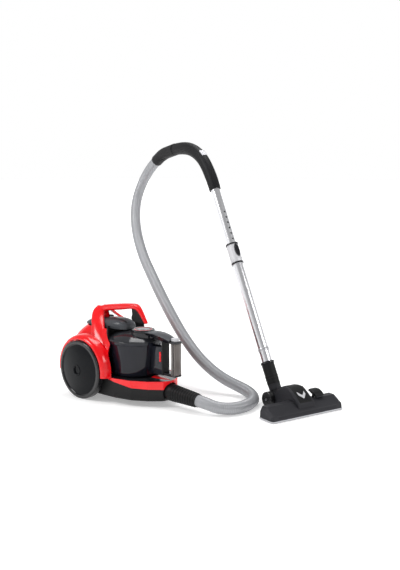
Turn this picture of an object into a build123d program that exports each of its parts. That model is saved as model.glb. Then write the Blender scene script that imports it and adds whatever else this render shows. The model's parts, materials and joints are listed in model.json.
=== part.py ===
"""Canister vacuum cleaner: canister, dust cup, hose, handle, telescopic wand and floor nozzle.

The frame has +X along the canister towards its hose inlet, +Y to its left and +Z up. The origin is
on the floor under the middle of the canister. All sizes are in millimetres.
"""

import os
from math import pi, radians, tan

from build123d import *

# --- driving dimensions: canister -----------------------------------------------------------
WALL = 3.0
RUN_GAP = 0.4
SHAFT_GAP = 0.05
AXLE_X = -100.0
WHEEL_R = 96.0
TYRE_DEPTH = 11.0
WHEEL_IN_Y = 112.0
WHEEL_OUT_Y = 140.0
AXLE_R = 6.0
ARCH_R_IN = 99.5
ARCH_R_OUT = 113.0
ARCH_OUT_Y = 134.0

BASE_Z = 20.0
BASE_TOP_REAR = 84.0
BASE_TOP_FRONT = 57.0
SPLIT_X = -12.0
REAR_X = -205.0
NOSE_X = 188.0

CUP_X = 24.0
BAY_R = 94.0
CUP_RIM_R = 90.0
CUP_TOP_R = 86.0
CUP_FOOT_R = 78.0
CUP_FOOT_Z = 88.0
CUP_RIM_Z = 187.0
LID_Z = 196.0
LID_TOP_Z = 233.0
CUP_WALL = 2.5
DIAL_X = 60.0
DIAL_R = 38.0
GRIP_FRONT_X = 217.0
GRIP_T = 16.0
GRIP_W = 30.0
SPINE_X = 164.0

HOUSING_TOP_Z = 228.0
COVER_TOP_Z = 250.0
HANDLE_TOP_Z = 311.0
HANDLE_W = 38.0
HANDLE_LEG_W = 20.0

INLET_X = 125.0
INLET_BACK = 22.0
INLET_MOUTH_X = 172.0
INLET_Z = 49.0
INLET_R = 31.8
INLET_BORE_R = 22.0
HOOD_R = 38.0

# --- driving dimensions: hose, wand and nozzle ----------------------------------------------
HOSE_R = 19.0
HOSE_WALL = 2.0
NOZZLE_X = 575.0
NOZZLE_Y = 196.0
NOZZLE_YAW = -15.0
NOZZLE_W = 280.0
NOZZLE_D = 68.0
PIVOT_X = -150.5
PIVOT_Z = 24.5
WAND_TILT = 28.8
NECK_END_S = 118.0
COLLAR_S = 462.0
COLLAR_END_S = 537.0
UPPER_END_S = 742.0
UPPER_R = 16.0
LOWER_R = 17.5
TUBE_WALL = 1.0
NOTCH_COUNT = 6
NOTCH_PITCH = 20.0
NOTCH_FIRST_S = 551.0
HANDLE_R = 18.5
CUFF_R = 22.0

HOSE_LEAD = 58.0

# Route of the hose, from the canister's cuff to the handle's cuff.
HOSE_ROUTE = [
    (301, 0, 39),
    (332, 0, 37.239),
    (366, 16, 25),
    (394, 57, 19.5),
    (402, 112, 19.5),
    (383, 171, 20),
    (341, 216, 21),
    (290, 234, 28),
    (232, 224, 44),
    (182, 211, 70),
    (133, 203, 103),
    (86, 204, 139),
    (38, 208, 181),
    (-14, 219, 227),
    (-71, 237, 273),
    (-128, 258, 319),
    (-190, 286, 364),
    (-253, 314, 411),
    (-312, 346, 461),
    (-360, 375, 514),
    (-393, 401, 570),
    (-408, 424, 628),
    (-396, 442, 690),
]

os.makedirs("parts", exist_ok=True)


def save(builder: BuildPart, label: str) -> None:
    """Label a finished piece and write it as a STEP file of that name."""
    builder.part.label = label
    export_step(builder.part, f"parts/{label}.step")


# --- frames ---------------------------------------------------------------------------------
NOZZLE = Plane(origin=(NOZZLE_X, NOZZLE_Y, 0)).rotated((0, 0, NOZZLE_YAW))


def on_nozzle(point, normal=(0, 0, 1), x_dir=(1, 0, 0)) -> Plane:
    """Give the plane at a point of the nozzle's frame, with its normal and x in that frame."""
    origin = NOZZLE.from_local_coords(Vector(*point))
    z_dir = NOZZLE.from_local_coords(Vector(*normal)) - NOZZLE.origin
    across = NOZZLE.from_local_coords(Vector(*x_dir)) - NOZZLE.origin
    return Plane(origin=origin, x_dir=across, z_dir=z_dir)


def on_wand(distance: float) -> Plane:
    """Give the plane square to the wand at a distance up it from the nozzle's pivot."""
    up = Vector(0, 0, 1).rotate(Axis.Y, -WAND_TILT)
    front = Vector(1, 0, 0).rotate(Axis.Y, -WAND_TILT)
    centre = Vector(PIVOT_X, 0, PIVOT_Z) + up * distance
    return on_nozzle(tuple(centre), tuple(up), tuple(front))


def on_inlet(distance: float) -> Plane:
    """Give the plane square to the inlet's axis, at a distance forward of the inlet's back face."""
    start = Vector(INLET_X, 0, INLET_Z)
    along = Vector(HOSE_ROUTE[0]) - start
    return Plane(origin=start + along.normalized() * distance, x_dir=(0, 1, 0), z_dir=along)


INLET_TO_HOSE = (Vector(HOSE_ROUTE[0]) - Vector(INLET_X, 0, INLET_Z)).length


def plan_outline(inset: float = 0.0) -> Sketch:
    """Give the canister's outline as seen from above, moved inwards by inset."""
    half = [(REAR_X, 76), (-178, 104), (-40, 109), (36, 107), (96, 94), (146, 66), (180, 34), (NOSE_X, 10)]
    other = [(x, -y) for x, y in reversed(half)]
    with BuildSketch() as outline:
        with BuildLine():
            Polyline(*half, *other, close=True)
        make_face()
        fillet(outline.vertices(), 14)
        if inset > 0:
            offset(amount=-inset, kind=Kind.INTERSECTION, mode=Mode.REPLACE)
    return outline.sketch


def above_split() -> Sketch:
    """Give, seen from the side, all that is above the line where the base meets the red band."""
    with BuildSketch() as above:
        with BuildLine():
            Polyline(
                (SPLIT_X, BASE_TOP_REAR + 20),
                (SPLIT_X, BASE_TOP_REAR - 3),
                (40, 72),
                (100, BASE_TOP_FRONT + 4),
                (NOSE_X + 20, BASE_TOP_FRONT),
                (NOSE_X + 20, BASE_TOP_REAR + 20),
                close=True,
            )
        make_face()
    return above.sketch


# --- canister base --------------------------------------------------------------------------
CASTER_X = 94.0
CASTER_TRAIL = 14.0
CASTER_R = 14.0
CASTER_WELL_R = 34.0

with BuildPart() as base_pan:
    with BuildSketch(Plane.XY.offset(BASE_Z)):
        add(plan_outline())
    extrude(amount=BASE_TOP_REAR - BASE_Z)
    chamfer(base_pan.faces().sort_by(Axis.Z)[0].edges(), 5)
    with BuildSketch(Plane.XY.offset(BASE_Z + WALL)):
        add(plan_outline(WALL))
    extrude(amount=BASE_TOP_REAR, mode=Mode.SUBTRACT)
    with BuildSketch(Plane.XZ):
        add(above_split())
    extrude(amount=150, both=True, mode=Mode.SUBTRACT)
    with BuildSketch(Plane.XY):
        with Locations((CASTER_X, 0)):
            Circle(CASTER_WELL_R)
    extrude(amount=BASE_Z + 2 * WALL, mode=Mode.SUBTRACT)
    with BuildSketch(on_inlet(INLET_BACK)):
        Circle(INLET_R + 0.2)
    extrude(amount=100, mode=Mode.SUBTRACT)
    with BuildSketch(Plane.XY.offset(BASE_Z + WALL)):
        with Locations((CASTER_X, 0)):
            Circle(CASTER_WELL_R + 4)
            Circle(CASTER_WELL_R, mode=Mode.SUBTRACT)
    extrude(amount=8)
    with BuildSketch(Plane.XY.offset(BASE_Z + WALL + 8)):
        with Locations((CASTER_X, 0)):
            Circle(CASTER_WELL_R + 4)
            Circle(5 + SHAFT_GAP, mode=Mode.SUBTRACT)
    extrude(amount=4)
save(base_pan, "base_pan")

with BuildPart() as front_band:
    with BuildSketch(Plane.XY.offset(BASE_TOP_FRONT)):
        add(plan_outline())
    extrude(amount=BASE_TOP_REAR - BASE_TOP_FRONT)
    with BuildSketch(Plane.XY.offset(BASE_TOP_FRONT)):
        add(plan_outline(WALL))
    extrude(amount=BASE_TOP_REAR, mode=Mode.SUBTRACT)
    with BuildSketch(Plane.XZ):
        add(above_split())
    extrude(amount=150, both=True, mode=Mode.INTERSECT)
    with BuildSketch(on_inlet(-14)):
        Circle(HOOD_R)
    extrude(amount=61)
    with BuildSketch(Plane.XZ):
        with Locations((INLET_X + 10, 0)):
            Rectangle(160, 2 * (BASE_TOP_FRONT + 1))
    extrude(amount=60, both=True, mode=Mode.SUBTRACT)
    with BuildSketch(on_inlet(-20)):
        Circle(INLET_R + 0.2)
    extrude(amount=120, mode=Mode.SUBTRACT)
save(front_band, "front_band")

with BuildPart() as cup_cradle:
    with BuildSketch(Plane.XY.offset(BASE_TOP_REAR - 4)):
        add(plan_outline(WALL + 0.05))
        with Locations((SPLIT_X / 2 + NOSE_X / 2, 0)):
            Rectangle(NOSE_X - SPLIT_X - 1, 300, mode=Mode.INTERSECT)
    extrude(amount=4)
    with BuildSketch(on_inlet(-40)):
        Circle(HOOD_R + 0.1)
    extrude(amount=140, mode=Mode.SUBTRACT)
    with BuildSketch(Plane.XY.offset(BASE_TOP_REAR - 4)):
        with Locations((CUP_X, 0)):
            Circle(16)
    extrude(amount=4, mode=Mode.SUBTRACT)
save(cup_cradle, "cup_cradle")

with BuildPart() as inlet_port:
    with BuildSketch(on_inlet(INLET_BACK)):
        Circle(INLET_R)
        Circle(INLET_BORE_R, mode=Mode.SUBTRACT)
    extrude(amount=INLET_MOUTH_X - INLET_X - INLET_BACK)
    chamfer(inlet_port.faces().sort_by(Axis.X)[-1].edges(), 2)
save(inlet_port, "inlet_port")

FORK_TOP_Z = BASE_Z + WALL + 7.6
with BuildPart() as caster_fork:
    with BuildSketch(Plane.XY.offset(FORK_TOP_Z - 2)):
        with Locations((CASTER_X, 0)):
            Circle(22)
    extrude(amount=2)
    with BuildSketch(Plane.XY.offset(FORK_TOP_Z)):
        with Locations((CASTER_X, 0)):
            Circle(5)
    extrude(amount=4.8)
    for side in (-1, 1):
        with BuildSketch(Plane.XZ.offset(side * 6.5)):
            with BuildLine():
                Polyline(
                    (CASTER_X - CASTER_TRAIL - 6, CASTER_R - 5),
                    (CASTER_X - CASTER_TRAIL + 6, CASTER_R - 5),
                    (CASTER_X + 12, FORK_TOP_Z - 1),
                    (CASTER_X - CASTER_TRAIL - 4, FORK_TOP_Z - 1),
                    close=True,
                )
            make_face()
        extrude(amount=1.5, both=True)
    with BuildSketch(Plane.XZ):
        with Locations((CASTER_X - CASTER_TRAIL, CASTER_R)):
            Circle(2.5 + SHAFT_GAP)
    extrude(amount=20, both=True, mode=Mode.SUBTRACT)
save(caster_fork, "caster_fork")

with BuildPart() as caster_wheels:
    with BuildSketch(Plane.XZ):
        with Locations((CASTER_X - CASTER_TRAIL, CASTER_R)):
            Circle(2.5)
    extrude(amount=16, both=True)
    for side in (-1, 1):
        with BuildSketch(Plane.XZ.offset(side * 12.5)):
            with Locations((CASTER_X - CASTER_TRAIL, CASTER_R)):
                Circle(CASTER_R)
        extrude(amount=4, both=True)
save(caster_wheels, "caster_wheels")


# --- rear housing ---------------------------------------------------------------------------
HOUSING_SECTIONS = [
    (BASE_TOP_REAR, -205, 216, 38),
    (150, -210, 207, 44),
    (205, -192, 166, 52),
    (HOUSING_TOP_Z, -170, 126, 48),
]
LOFT_FRONT_X = 60.0


def housing_loft(inset: float) -> Part:
    """Loft the rear body through its sections, each one moved inwards by inset."""
    with BuildPart() as body:
        for z, rear, width, corner in HOUSING_SECTIONS:
            length = LOFT_FRONT_X - rear - 2 * inset
            with BuildSketch(Plane.XY.offset(z)):
                with Locations(((LOFT_FRONT_X + rear) / 2, 0)):
                    RectangleRounded(length, width - 2 * inset, corner - inset)
        loft()
    return body.part


BUTTON_X = -127.0
BUTTON_Y = 29.0
BUTTON_L = 20.0
BUTTON_W = 14.0
DOOR_W = 96.0
DOOR_Z = 104.0
DOOR_TOP_Z = 178.0
CORD_HOLE_R = 8.0
CORD_Z = 94.0

with BuildPart() as main_housing:
    add(housing_loft(0))
    add(housing_loft(WALL), mode=Mode.SUBTRACT)
    with BuildSketch(Plane.XY.offset(BASE_TOP_REAR)):
        with Locations((CUP_X, 0)):
            Circle(BAY_R)
        with Locations((LOFT_FRONT_X - 1, 0)):
            Rectangle(2 * (LOFT_FRONT_X - 1), 260)
    extrude(amount=200, mode=Mode.SUBTRACT)
    with BuildSketch(Plane.YZ.offset(REAR_X - 20)):
        with Locations((0, (DOOR_Z + DOOR_TOP_Z) / 2)):
            RectangleRounded(DOOR_W, DOOR_TOP_Z - DOOR_Z, 8)
        with Locations((0, CORD_Z)):
            Circle(CORD_HOLE_R)
    extrude(amount=60, mode=Mode.SUBTRACT)
    with BuildSketch(Plane.XZ):
        with Locations((AXLE_X, WHEEL_R)):
            Circle(AXLE_R + 0.02)
    extrude(amount=150, both=True, mode=Mode.SUBTRACT)
save(main_housing, "main_housing")

with BuildPart() as rear_cover:
    for z, rear, width, corner in ((HOUSING_TOP_Z, -170, 126, 48), (COVER_TOP_Z, -152, 96, 40)):
        with BuildSketch(Plane.XY.offset(z)):
            with Locations(((LOFT_FRONT_X + rear) / 2, 0)):
                RectangleRounded(LOFT_FRONT_X - rear, width, corner)
    loft()
    fillet(rear_cover.faces().sort_by(Axis.Z)[-1].edges(), 8)
    with BuildSketch(Plane.XY.offset(HOUSING_TOP_Z)):
        with Locations(((LOFT_FRONT_X - 152) / 2, 0)):
            RectangleRounded(LOFT_FRONT_X + 152 - 16, 80, 32)
    extrude(amount=COVER_TOP_Z - HOUSING_TOP_Z - WALL, mode=Mode.SUBTRACT)
    with BuildSketch(Plane.XY.offset(HOUSING_TOP_Z)):
        with Locations((CUP_X, 0)):
            Circle(BAY_R)
        with Locations((LOFT_FRONT_X - 25, 0)):
            Rectangle(2 * (LOFT_FRONT_X + 20), 260)
    extrude(amount=60, mode=Mode.SUBTRACT)
    with BuildSketch(Plane.XY.offset(HOUSING_TOP_Z)):
        with Locations((BUTTON_X, BUTTON_Y), (BUTTON_X, -BUTTON_Y)):
            RectangleRounded(BUTTON_L + 2 * RUN_GAP, BUTTON_W + 2 * RUN_GAP, 5)
    extrude(amount=60, mode=Mode.SUBTRACT)
save(rear_cover, "rear_cover")

for button_name, button_y in (("power_button", BUTTON_Y), ("rewind_button", -BUTTON_Y)):
    with BuildPart() as button:
        with BuildSketch(Plane.XY.offset(COVER_TOP_Z - 9)):
            with Locations((BUTTON_X, button_y)):
                RectangleRounded(BUTTON_L, BUTTON_W, 4.6)
        extrude(amount=12.5)
        fillet(button.faces().sort_by(Axis.Z)[-1].edges(), 1.5)
    save(button, button_name)

with BuildPart() as bay_liner:
    with BuildSketch(Plane.XY.offset(BASE_TOP_REAR)):
        with Locations((CUP_X, 0)):
            Circle(BAY_R - 0.2)
            Circle(BAY_R - 2.4, mode=Mode.SUBTRACT)
        with Locations((100, 0)):
            Rectangle(240, 240, mode=Mode.SUBTRACT)
    extrude(amount=HOUSING_TOP_Z + 6 - BASE_TOP_REAR)
    with BuildSketch(Plane.YZ.offset(-90)):
        with Locations((-34, 150)):
            Circle(20)
    extrude(amount=60, mode=Mode.SUBTRACT)
save(bay_liner, "bay_liner")

with BuildPart() as wheel_arches:
    for side in (-1, 1):
        with BuildSketch(Plane.XZ.offset(-side * ARCH_OUT_Y)):
            with Locations((AXLE_X, WHEEL_R)):
                Circle(ARCH_R_OUT)
                Circle(ARCH_R_IN, mode=Mode.SUBTRACT)
            with Locations((AXLE_X, WHEEL_R - 150)):
                Rectangle(400, 300, mode=Mode.SUBTRACT)
        extrude(amount=side * (ARCH_OUT_Y - 109.2))
save(wheel_arches, "wheel_arches")

# --- carry handle ---------------------------------------------------------------------------
with BuildPart() as carry_handle:
    with BuildSketch(Plane.XZ):
        with BuildLine():
            Polyline(
                (-166, 250.2),
                (-158, 272),
                (-138, 289),
                (-82, 300),
                (-30, 307),
                (12, HANDLE_TOP_Z),
                (28, HANDLE_TOP_Z - 2),
                (24, 297),
                (-50, 282),
                (-101, 266),
                (-112, 250.2),
                close=True,
            )
        make_face()
    extrude(amount=HANDLE_W / 2, both=True)
    fillet(carry_handle.faces().filter_by(Axis.Y).edges(), 3)
    with BuildSketch(Plane.XZ):
        with BuildLine():
            Polyline(
                (20, HANDLE_TOP_Z - 1),
                (34, HANDLE_TOP_Z - 2),
                (48, 300),
                (66, 276),
                (84, 250),
                (72, 250),
                (54, 282),
                (38, 294),
                (18, 298),
                close=True,
            )
        make_face()
    extrude(amount=HANDLE_LEG_W / 2, both=True)
save(carry_handle, "carry_handle")

with BuildPart() as side_pillars:
    for side in (-1, 1):
        with BuildSketch(Plane.XY.offset(150)):
            with Locations((-34, side * 98.5)):
                Rectangle(60, 20)
        with BuildSketch(Plane.XY.offset(215)):
            with Locations((-72, side * 80)):
                Rectangle(64, 22)
        with BuildSketch(Plane.XY.offset(272)):
            with Locations((-122, side * (HANDLE_W / 2 + 12))):
                Rectangle(28, 23.6)
        loft(ruled=True)
    with BuildSketch(Plane.XY.offset(140)):
        with Locations((CUP_X, 0)):
            Circle(BAY_R)
    extrude(amount=150, mode=Mode.SUBTRACT)
    add(housing_loft(0), mode=Mode.SUBTRACT)
    add(rear_cover.part, mode=Mode.SUBTRACT)
    with BuildSketch(Plane.XY.offset(HOUSING_TOP_Z)):
        with Locations((-90, 0)):
            Rectangle(200, 84)
    extrude(amount=COVER_TOP_Z - HOUSING_TOP_Z - 1, mode=Mode.SUBTRACT)
save(side_pillars, "side_pillars")

with BuildPart() as handle_insert:
    with BuildSketch(Plane.XZ):
        with BuildLine():
            Polyline((10, 292), (38, 296), (54, 284), (76, 250), (30, 250), (10, 262), close=True)
        make_face()
    extrude(amount=HANDLE_LEG_W / 2 - 2, both=True)
    add(carry_handle.part, mode=Mode.SUBTRACT)
save(handle_insert, "handle_insert")


# --- dust cup -------------------------------------------------------------------------------
with BuildPart() as dust_cup:
    with BuildSketch(Plane.XZ):
        with BuildLine():
            Polyline(
                (CUP_X + CUP_FOOT_R - CUP_WALL, CUP_FOOT_Z),
                (CUP_X + CUP_FOOT_R, CUP_FOOT_Z),
                (CUP_X + CUP_TOP_R, CUP_RIM_Z),
                (CUP_X + CUP_RIM_R, CUP_RIM_Z + 2),
                (CUP_X + CUP_RIM_R, LID_Z),
                (CUP_X + CUP_RIM_R - CUP_WALL, LID_Z),
                (CUP_X + CUP_RIM_R - CUP_WALL, CUP_RIM_Z + 4),
                (CUP_X + CUP_TOP_R - CUP_WALL, CUP_RIM_Z + 2),
                close=True,
            )
        make_face()
    revolve(axis=Axis((CUP_X, 0, 0), (0, 0, 1)))
    with BuildSketch(Plane.XY.offset(98)):
        with Locations(((CUP_X + SPINE_X - 8) / 2, 0)):
            Rectangle(SPINE_X - 8 - CUP_X, 26)
            Rectangle(SPINE_X - 8 - CUP_X, 26 - 2 * CUP_WALL, mode=Mode.SUBTRACT)
        with Locations((CUP_X, 0)):
            Circle(CUP_TOP_R - 2.2, mode=Mode.SUBTRACT)
    extrude(amount=CUP_RIM_Z - 98)
save(dust_cup, "dust_cup")

def lid_dome(inset: float) -> Part:
    """Give the solid under the lid's dome, moved inwards by inset."""
    with BuildPart() as dome:
        with BuildSketch(Plane.XZ):
            with BuildLine():
                edge = CUP_X + CUP_RIM_R - inset
                Polyline((CUP_X, LID_Z), (edge, LID_Z), (edge - 1, LID_Z + 5))
                Spline(
                    (edge - 1, LID_Z + 5),
                    (CUP_X + 56, 222 - inset),
                    (CUP_X, LID_TOP_Z - inset),
                    tangents=[(-0.5, 1), (-1, 0)],
                )
                Line((CUP_X, LID_TOP_Z - inset), (CUP_X, LID_Z))
            make_face()
        revolve(axis=Axis((CUP_X, 0, 0), (0, 0, 1)))
    return dome.part


with BuildPart() as cup_lid:
    add(lid_dome(0))
    with BuildSketch(Plane.XY.offset(LID_Z + 12)):
        with Locations((DIAL_X, 0)):
            Circle(DIAL_R + 1.5)
    extrude(amount=LID_TOP_Z + 2.5 - LID_Z - 12)
    add(lid_dome(3), mode=Mode.SUBTRACT)
    with BuildSketch(Plane.XY.offset(LID_Z)):
        with Locations((DIAL_X, 0)):
            Circle(4 + SHAFT_GAP)
    extrude(amount=60, mode=Mode.SUBTRACT)
save(cup_lid, "cup_lid")

with BuildPart() as lid_dial:
    with BuildSketch(Plane.XY.offset(LID_TOP_Z + 2.9)):
        with Locations((DIAL_X, 0)):
            Circle(DIAL_R)
    extrude(amount=5.5)
    chamfer(lid_dial.faces().sort_by(Axis.Z)[-1].edges(), 2)
    with BuildSketch(Plane.XY.offset(LID_TOP_Z - 9)):
        with Locations((DIAL_X, 0)):
            Circle(4)
    extrude(amount=12)
save(lid_dial, "lid_dial")

ARM_TOP = [(DIAL_X + DIAL_R + 1, 239), (150, 237), (192, 223), (GRIP_FRONT_X + 1, 211)]
ARM_UNDER = [(GRIP_FRONT_X + 1, 206.2), (SPINE_X - 12, 206.2), (CUP_X + CUP_RIM_R - 4, 208), (80, 224)]
with BuildPart() as cup_arm:
    with BuildSketch(Plane.XZ):
        with BuildLine():
            Polyline(*ARM_TOP, *ARM_UNDER, close=True)
        make_face()
    extrude(amount=GRIP_W / 2 + 3, both=True)
    add(lid_dome(0), mode=Mode.SUBTRACT)
    with BuildSketch(Plane.XY.offset(LID_Z)):
        with Locations((DIAL_X, 0)):
            Circle(DIAL_R + 1.9)
    extrude(amount=60, mode=Mode.SUBTRACT)
    with BuildSketch(Plane.XY.offset(209)):
        with Locations((203, 0)):
            RectangleRounded(20 + 2 * RUN_GAP, 20 + 2 * RUN_GAP, 4)
    extrude(amount=40, mode=Mode.SUBTRACT)
save(cup_arm, "cup_arm")

with BuildPart() as release_button:
    with BuildSketch(Plane.XY.offset(212.5)):
        with Locations((203, 0)):
            RectangleRounded(20, 20, 3.6)
    extrude(amount=9.5)
    fillet(release_button.faces().sort_by(Axis.Z)[-1].edges(), 1.5)
save(release_button, "release_button")

with BuildPart() as cup_spine:
    with BuildSketch(Plane.XY.offset(98)):
        with Locations((SPINE_X - 4, 0)):
            RectangleRounded(7.9, GRIP_W, 2)
    extrude(amount=206 - 98)
save(cup_spine, "cup_spine")

with BuildPart() as cup_grip:
    with BuildSketch(Plane.XY.offset(100)):
        with Locations((GRIP_FRONT_X - GRIP_T / 2, 0)):
            RectangleRounded(GRIP_T, GRIP_W, 4)
            RectangleRounded(GRIP_T - 2 * CUP_WALL, GRIP_W - 2 * CUP_WALL, 2, mode=Mode.SUBTRACT)
    extrude(amount=206 - 100)
    with BuildSketch(Plane.XY.offset(100)):
        with Locations(((SPINE_X + GRIP_FRONT_X) / 2, 0)):
            RectangleRounded(GRIP_FRONT_X - SPINE_X, GRIP_W, 3.5)
    extrude(amount=8)
save(cup_grip, "cup_grip")

with BuildPart() as cup_flap:
    with BuildSketch(Plane.XY.offset(CUP_FOOT_Z)):
        with Locations((CUP_X, 0)):
            Circle(CUP_FOOT_R - CUP_WALL - 0.1)
    extrude(amount=3)
    chamfer(cup_flap.faces().sort_by(Axis.Z)[0].edges(), 1)
save(cup_flap, "cup_flap")

with BuildPart() as cyclone_shroud:
    with BuildSketch(Plane.XY.offset(112)):
        with Locations((CUP_X, 0)):
            Circle(44)
            Circle(42, mode=Mode.SUBTRACT)
    extrude(amount=72)
    with BuildSketch(Plane.XY.offset(184)):
        with Locations((CUP_X, 0)):
            Circle(CUP_TOP_R - 3)
            Circle(30, mode=Mode.SUBTRACT)
    extrude(amount=3)
save(cyclone_shroud, "cyclone_shroud")

with BuildPart() as cyclone_cone:
    with BuildSketch(Plane.XZ):
        with BuildLine():
            Polyline(
                (CUP_X + 15, 93),
                (CUP_X + 17, 93),
                (CUP_X + 38, 183),
                (CUP_X + 36, 183),
                close=True,
            )
        make_face()
    revolve(axis=Axis((CUP_X, 0, 0), (0, 0, 1)))
save(cyclone_cone, "cyclone_cone")

with BuildPart() as cup_filter:
    with BuildSketch(Plane.XY.offset(CUP_RIM_Z + 0.5)):
        with Locations((CUP_X, 0)):
            Circle(CUP_TOP_R - 5)
    extrude(amount=14)
save(cup_filter, "cup_filter")

with BuildPart() as lid_seal:
    with BuildSketch(Plane.XY.offset(LID_Z - 4)):
        with Locations((CUP_X, 0)):
            Circle(CUP_RIM_R - CUP_WALL - 0.05)
            Circle(CUP_TOP_R - 4.5, mode=Mode.SUBTRACT)
    extrude(amount=4)
save(lid_seal, "lid_seal")

# --- motor, filters and cord reel -----------------------------------------------------------
MOTOR_Y = -36.0
MOTOR_Z = 112.0
MOTOR_R = 46.0
MOTOR_BACK_X = -176.0
MOTOR_LEN = 92.0
SHAFT_R = 4.0

with BuildPart() as motor_can:
    with BuildSketch(Plane.YZ.offset(MOTOR_BACK_X)):
        with Locations((MOTOR_Y, MOTOR_Z)):
            Circle(MOTOR_R)
    extrude(amount=MOTOR_LEN)
    with BuildSketch(Plane.YZ.offset(MOTOR_BACK_X + WALL)):
        with Locations((MOTOR_Y, MOTOR_Z)):
            Circle(MOTOR_R - WALL)
    extrude(amount=MOTOR_LEN - 2 * WALL, mode=Mode.SUBTRACT)
    with BuildSketch(Plane.YZ.offset(MOTOR_BACK_X)):
        with Locations((MOTOR_Y, MOTOR_Z)):
            Circle(SHAFT_R + SHAFT_GAP)
    extrude(amount=2 * WALL, mode=Mode.SUBTRACT)
    with BuildSketch(Plane.YZ.offset(MOTOR_BACK_X + MOTOR_LEN - 2 * WALL)):
        with Locations((MOTOR_Y, MOTOR_Z)):
            Circle(15)
    extrude(amount=3 * WALL, mode=Mode.SUBTRACT)
    with BuildSketch(Plane.YZ.offset(MOTOR_BACK_X)):
        with Locations((MOTOR_Y, MOTOR_Z)):
            with PolarLocations(MOTOR_R - 14, 8):
                Circle(5)
    extrude(amount=2 * WALL, mode=Mode.SUBTRACT)
save(motor_can, "motor_can")

with BuildPart() as motor_rotor:
    with BuildSketch(Plane.YZ.offset(MOTOR_BACK_X - 2)):
        with Locations((MOTOR_Y, MOTOR_Z)):
            Circle(SHAFT_R)
    extrude(amount=MOTOR_LEN - 12)
    with BuildSketch(Plane.YZ.offset(MOTOR_BACK_X + 10)):
        with Locations((MOTOR_Y, MOTOR_Z)):
            Circle(22)
    extrude(amount=38)
    with BuildSketch(Plane.YZ.offset(MOTOR_BACK_X + 66)):
        with Locations((MOTOR_Y, MOTOR_Z)):
            Circle(38)
    extrude(amount=10)
save(motor_rotor, "motor_rotor")

with BuildPart() as motor_mounts:
    for mount_x in (MOTOR_BACK_X + 14, MOTOR_BACK_X + MOTOR_LEN - 14):
        with BuildSketch(Plane.YZ.offset(mount_x - 5)):
            with Locations((MOTOR_Y, MOTOR_Z)):
                Circle(MOTOR_R + 5)
                Circle(MOTOR_R, mode=Mode.SUBTRACT)
            with Locations((MOTOR_Y, MOTOR_Z - MOTOR_R - 19)):
                Rectangle(40, 36)
            with Locations((MOTOR_Y, MOTOR_Z)):
                Circle(MOTOR_R, mode=Mode.SUBTRACT)
        extrude(amount=10)
save(motor_mounts, "motor_mounts")

REEL_X = -126.0
REEL_Y = 52.0
REEL_Z = 92.0
REEL_R = 52.0
with BuildPart() as cord_reel:
    with BuildSketch(Plane.XZ.offset(-REEL_Y + 18)):
        with Locations((REEL_X, REEL_Z)):
            Circle(26)
            Circle(20, mode=Mode.SUBTRACT)
    extrude(amount=-36)
    for flange_y in (REEL_Y - 18, REEL_Y + 16):
        with BuildSketch(Plane.XZ.offset(-flange_y)):
            with Locations((REEL_X, REEL_Z)):
                Circle(REEL_R)
                Circle(5 + SHAFT_GAP, mode=Mode.SUBTRACT)
        extrude(amount=-2)
save(cord_reel, "cord_reel")

with BuildPart() as reel_axle:
    with BuildSketch(Plane.XZ.offset(-REEL_Y + 22)):
        with Locations((REEL_X, REEL_Z)):
            Circle(5)
    extrude(amount=-44)
    with BuildSketch(Plane.XZ.offset(-REEL_Y + 22)):
        with Locations((REEL_X, (BASE_Z + WALL + REEL_Z + 6) / 2)):
            Rectangle(20, REEL_Z + 6 - BASE_Z - WALL)
    extrude(amount=3)
save(reel_axle, "reel_axle")

with BuildPart() as control_board:
    with BuildSketch(Plane.XY.offset(222)):
        with Locations((-110, 0)):
            Rectangle(56, 70)
    extrude(amount=1.6)
    with BuildSketch(Plane.XY.offset(223.6)):
        with Locations((BUTTON_X, BUTTON_Y), (BUTTON_X, -BUTTON_Y)):
            Rectangle(8, 8)
    extrude(amount=10)
save(control_board, "control_board")

with BuildPart() as exhaust_filter:
    with BuildSketch(Plane.YZ.offset(-198)):
        with Locations((0, (DOOR_Z + DOOR_TOP_Z) / 2)):
            RectangleRounded(DOOR_W - 4, DOOR_TOP_Z - DOOR_Z - 8, 5)
    extrude(amount=18)
    add(housing_loft(0), mode=Mode.INTERSECT)
save(exhaust_filter, "exhaust_filter")

with BuildPart() as exhaust_door:
    with BuildSketch(Plane.YZ.offset(REAR_X - 1)):
        with Locations((0, (DOOR_Z + DOOR_TOP_Z) / 2)):
            RectangleRounded(DOOR_W - 0.8, DOOR_TOP_Z - DOOR_Z - 0.8, 7.6)
            with GridLocations(0, 8, 1, 7):
                SlotOverall(76, 3.5, mode=Mode.SUBTRACT)
    extrude(amount=3)
save(exhaust_door, "exhaust_door")

with BuildPart() as cord_outlet:
    with BuildSketch(Plane.YZ.offset(REAR_X - 4)):
        with Locations((0, CORD_Z)):
            Circle(CORD_HOLE_R - 0.1)
            Circle(4.5, mode=Mode.SUBTRACT)
    extrude(amount=12)
save(cord_outlet, "cord_outlet")

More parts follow.
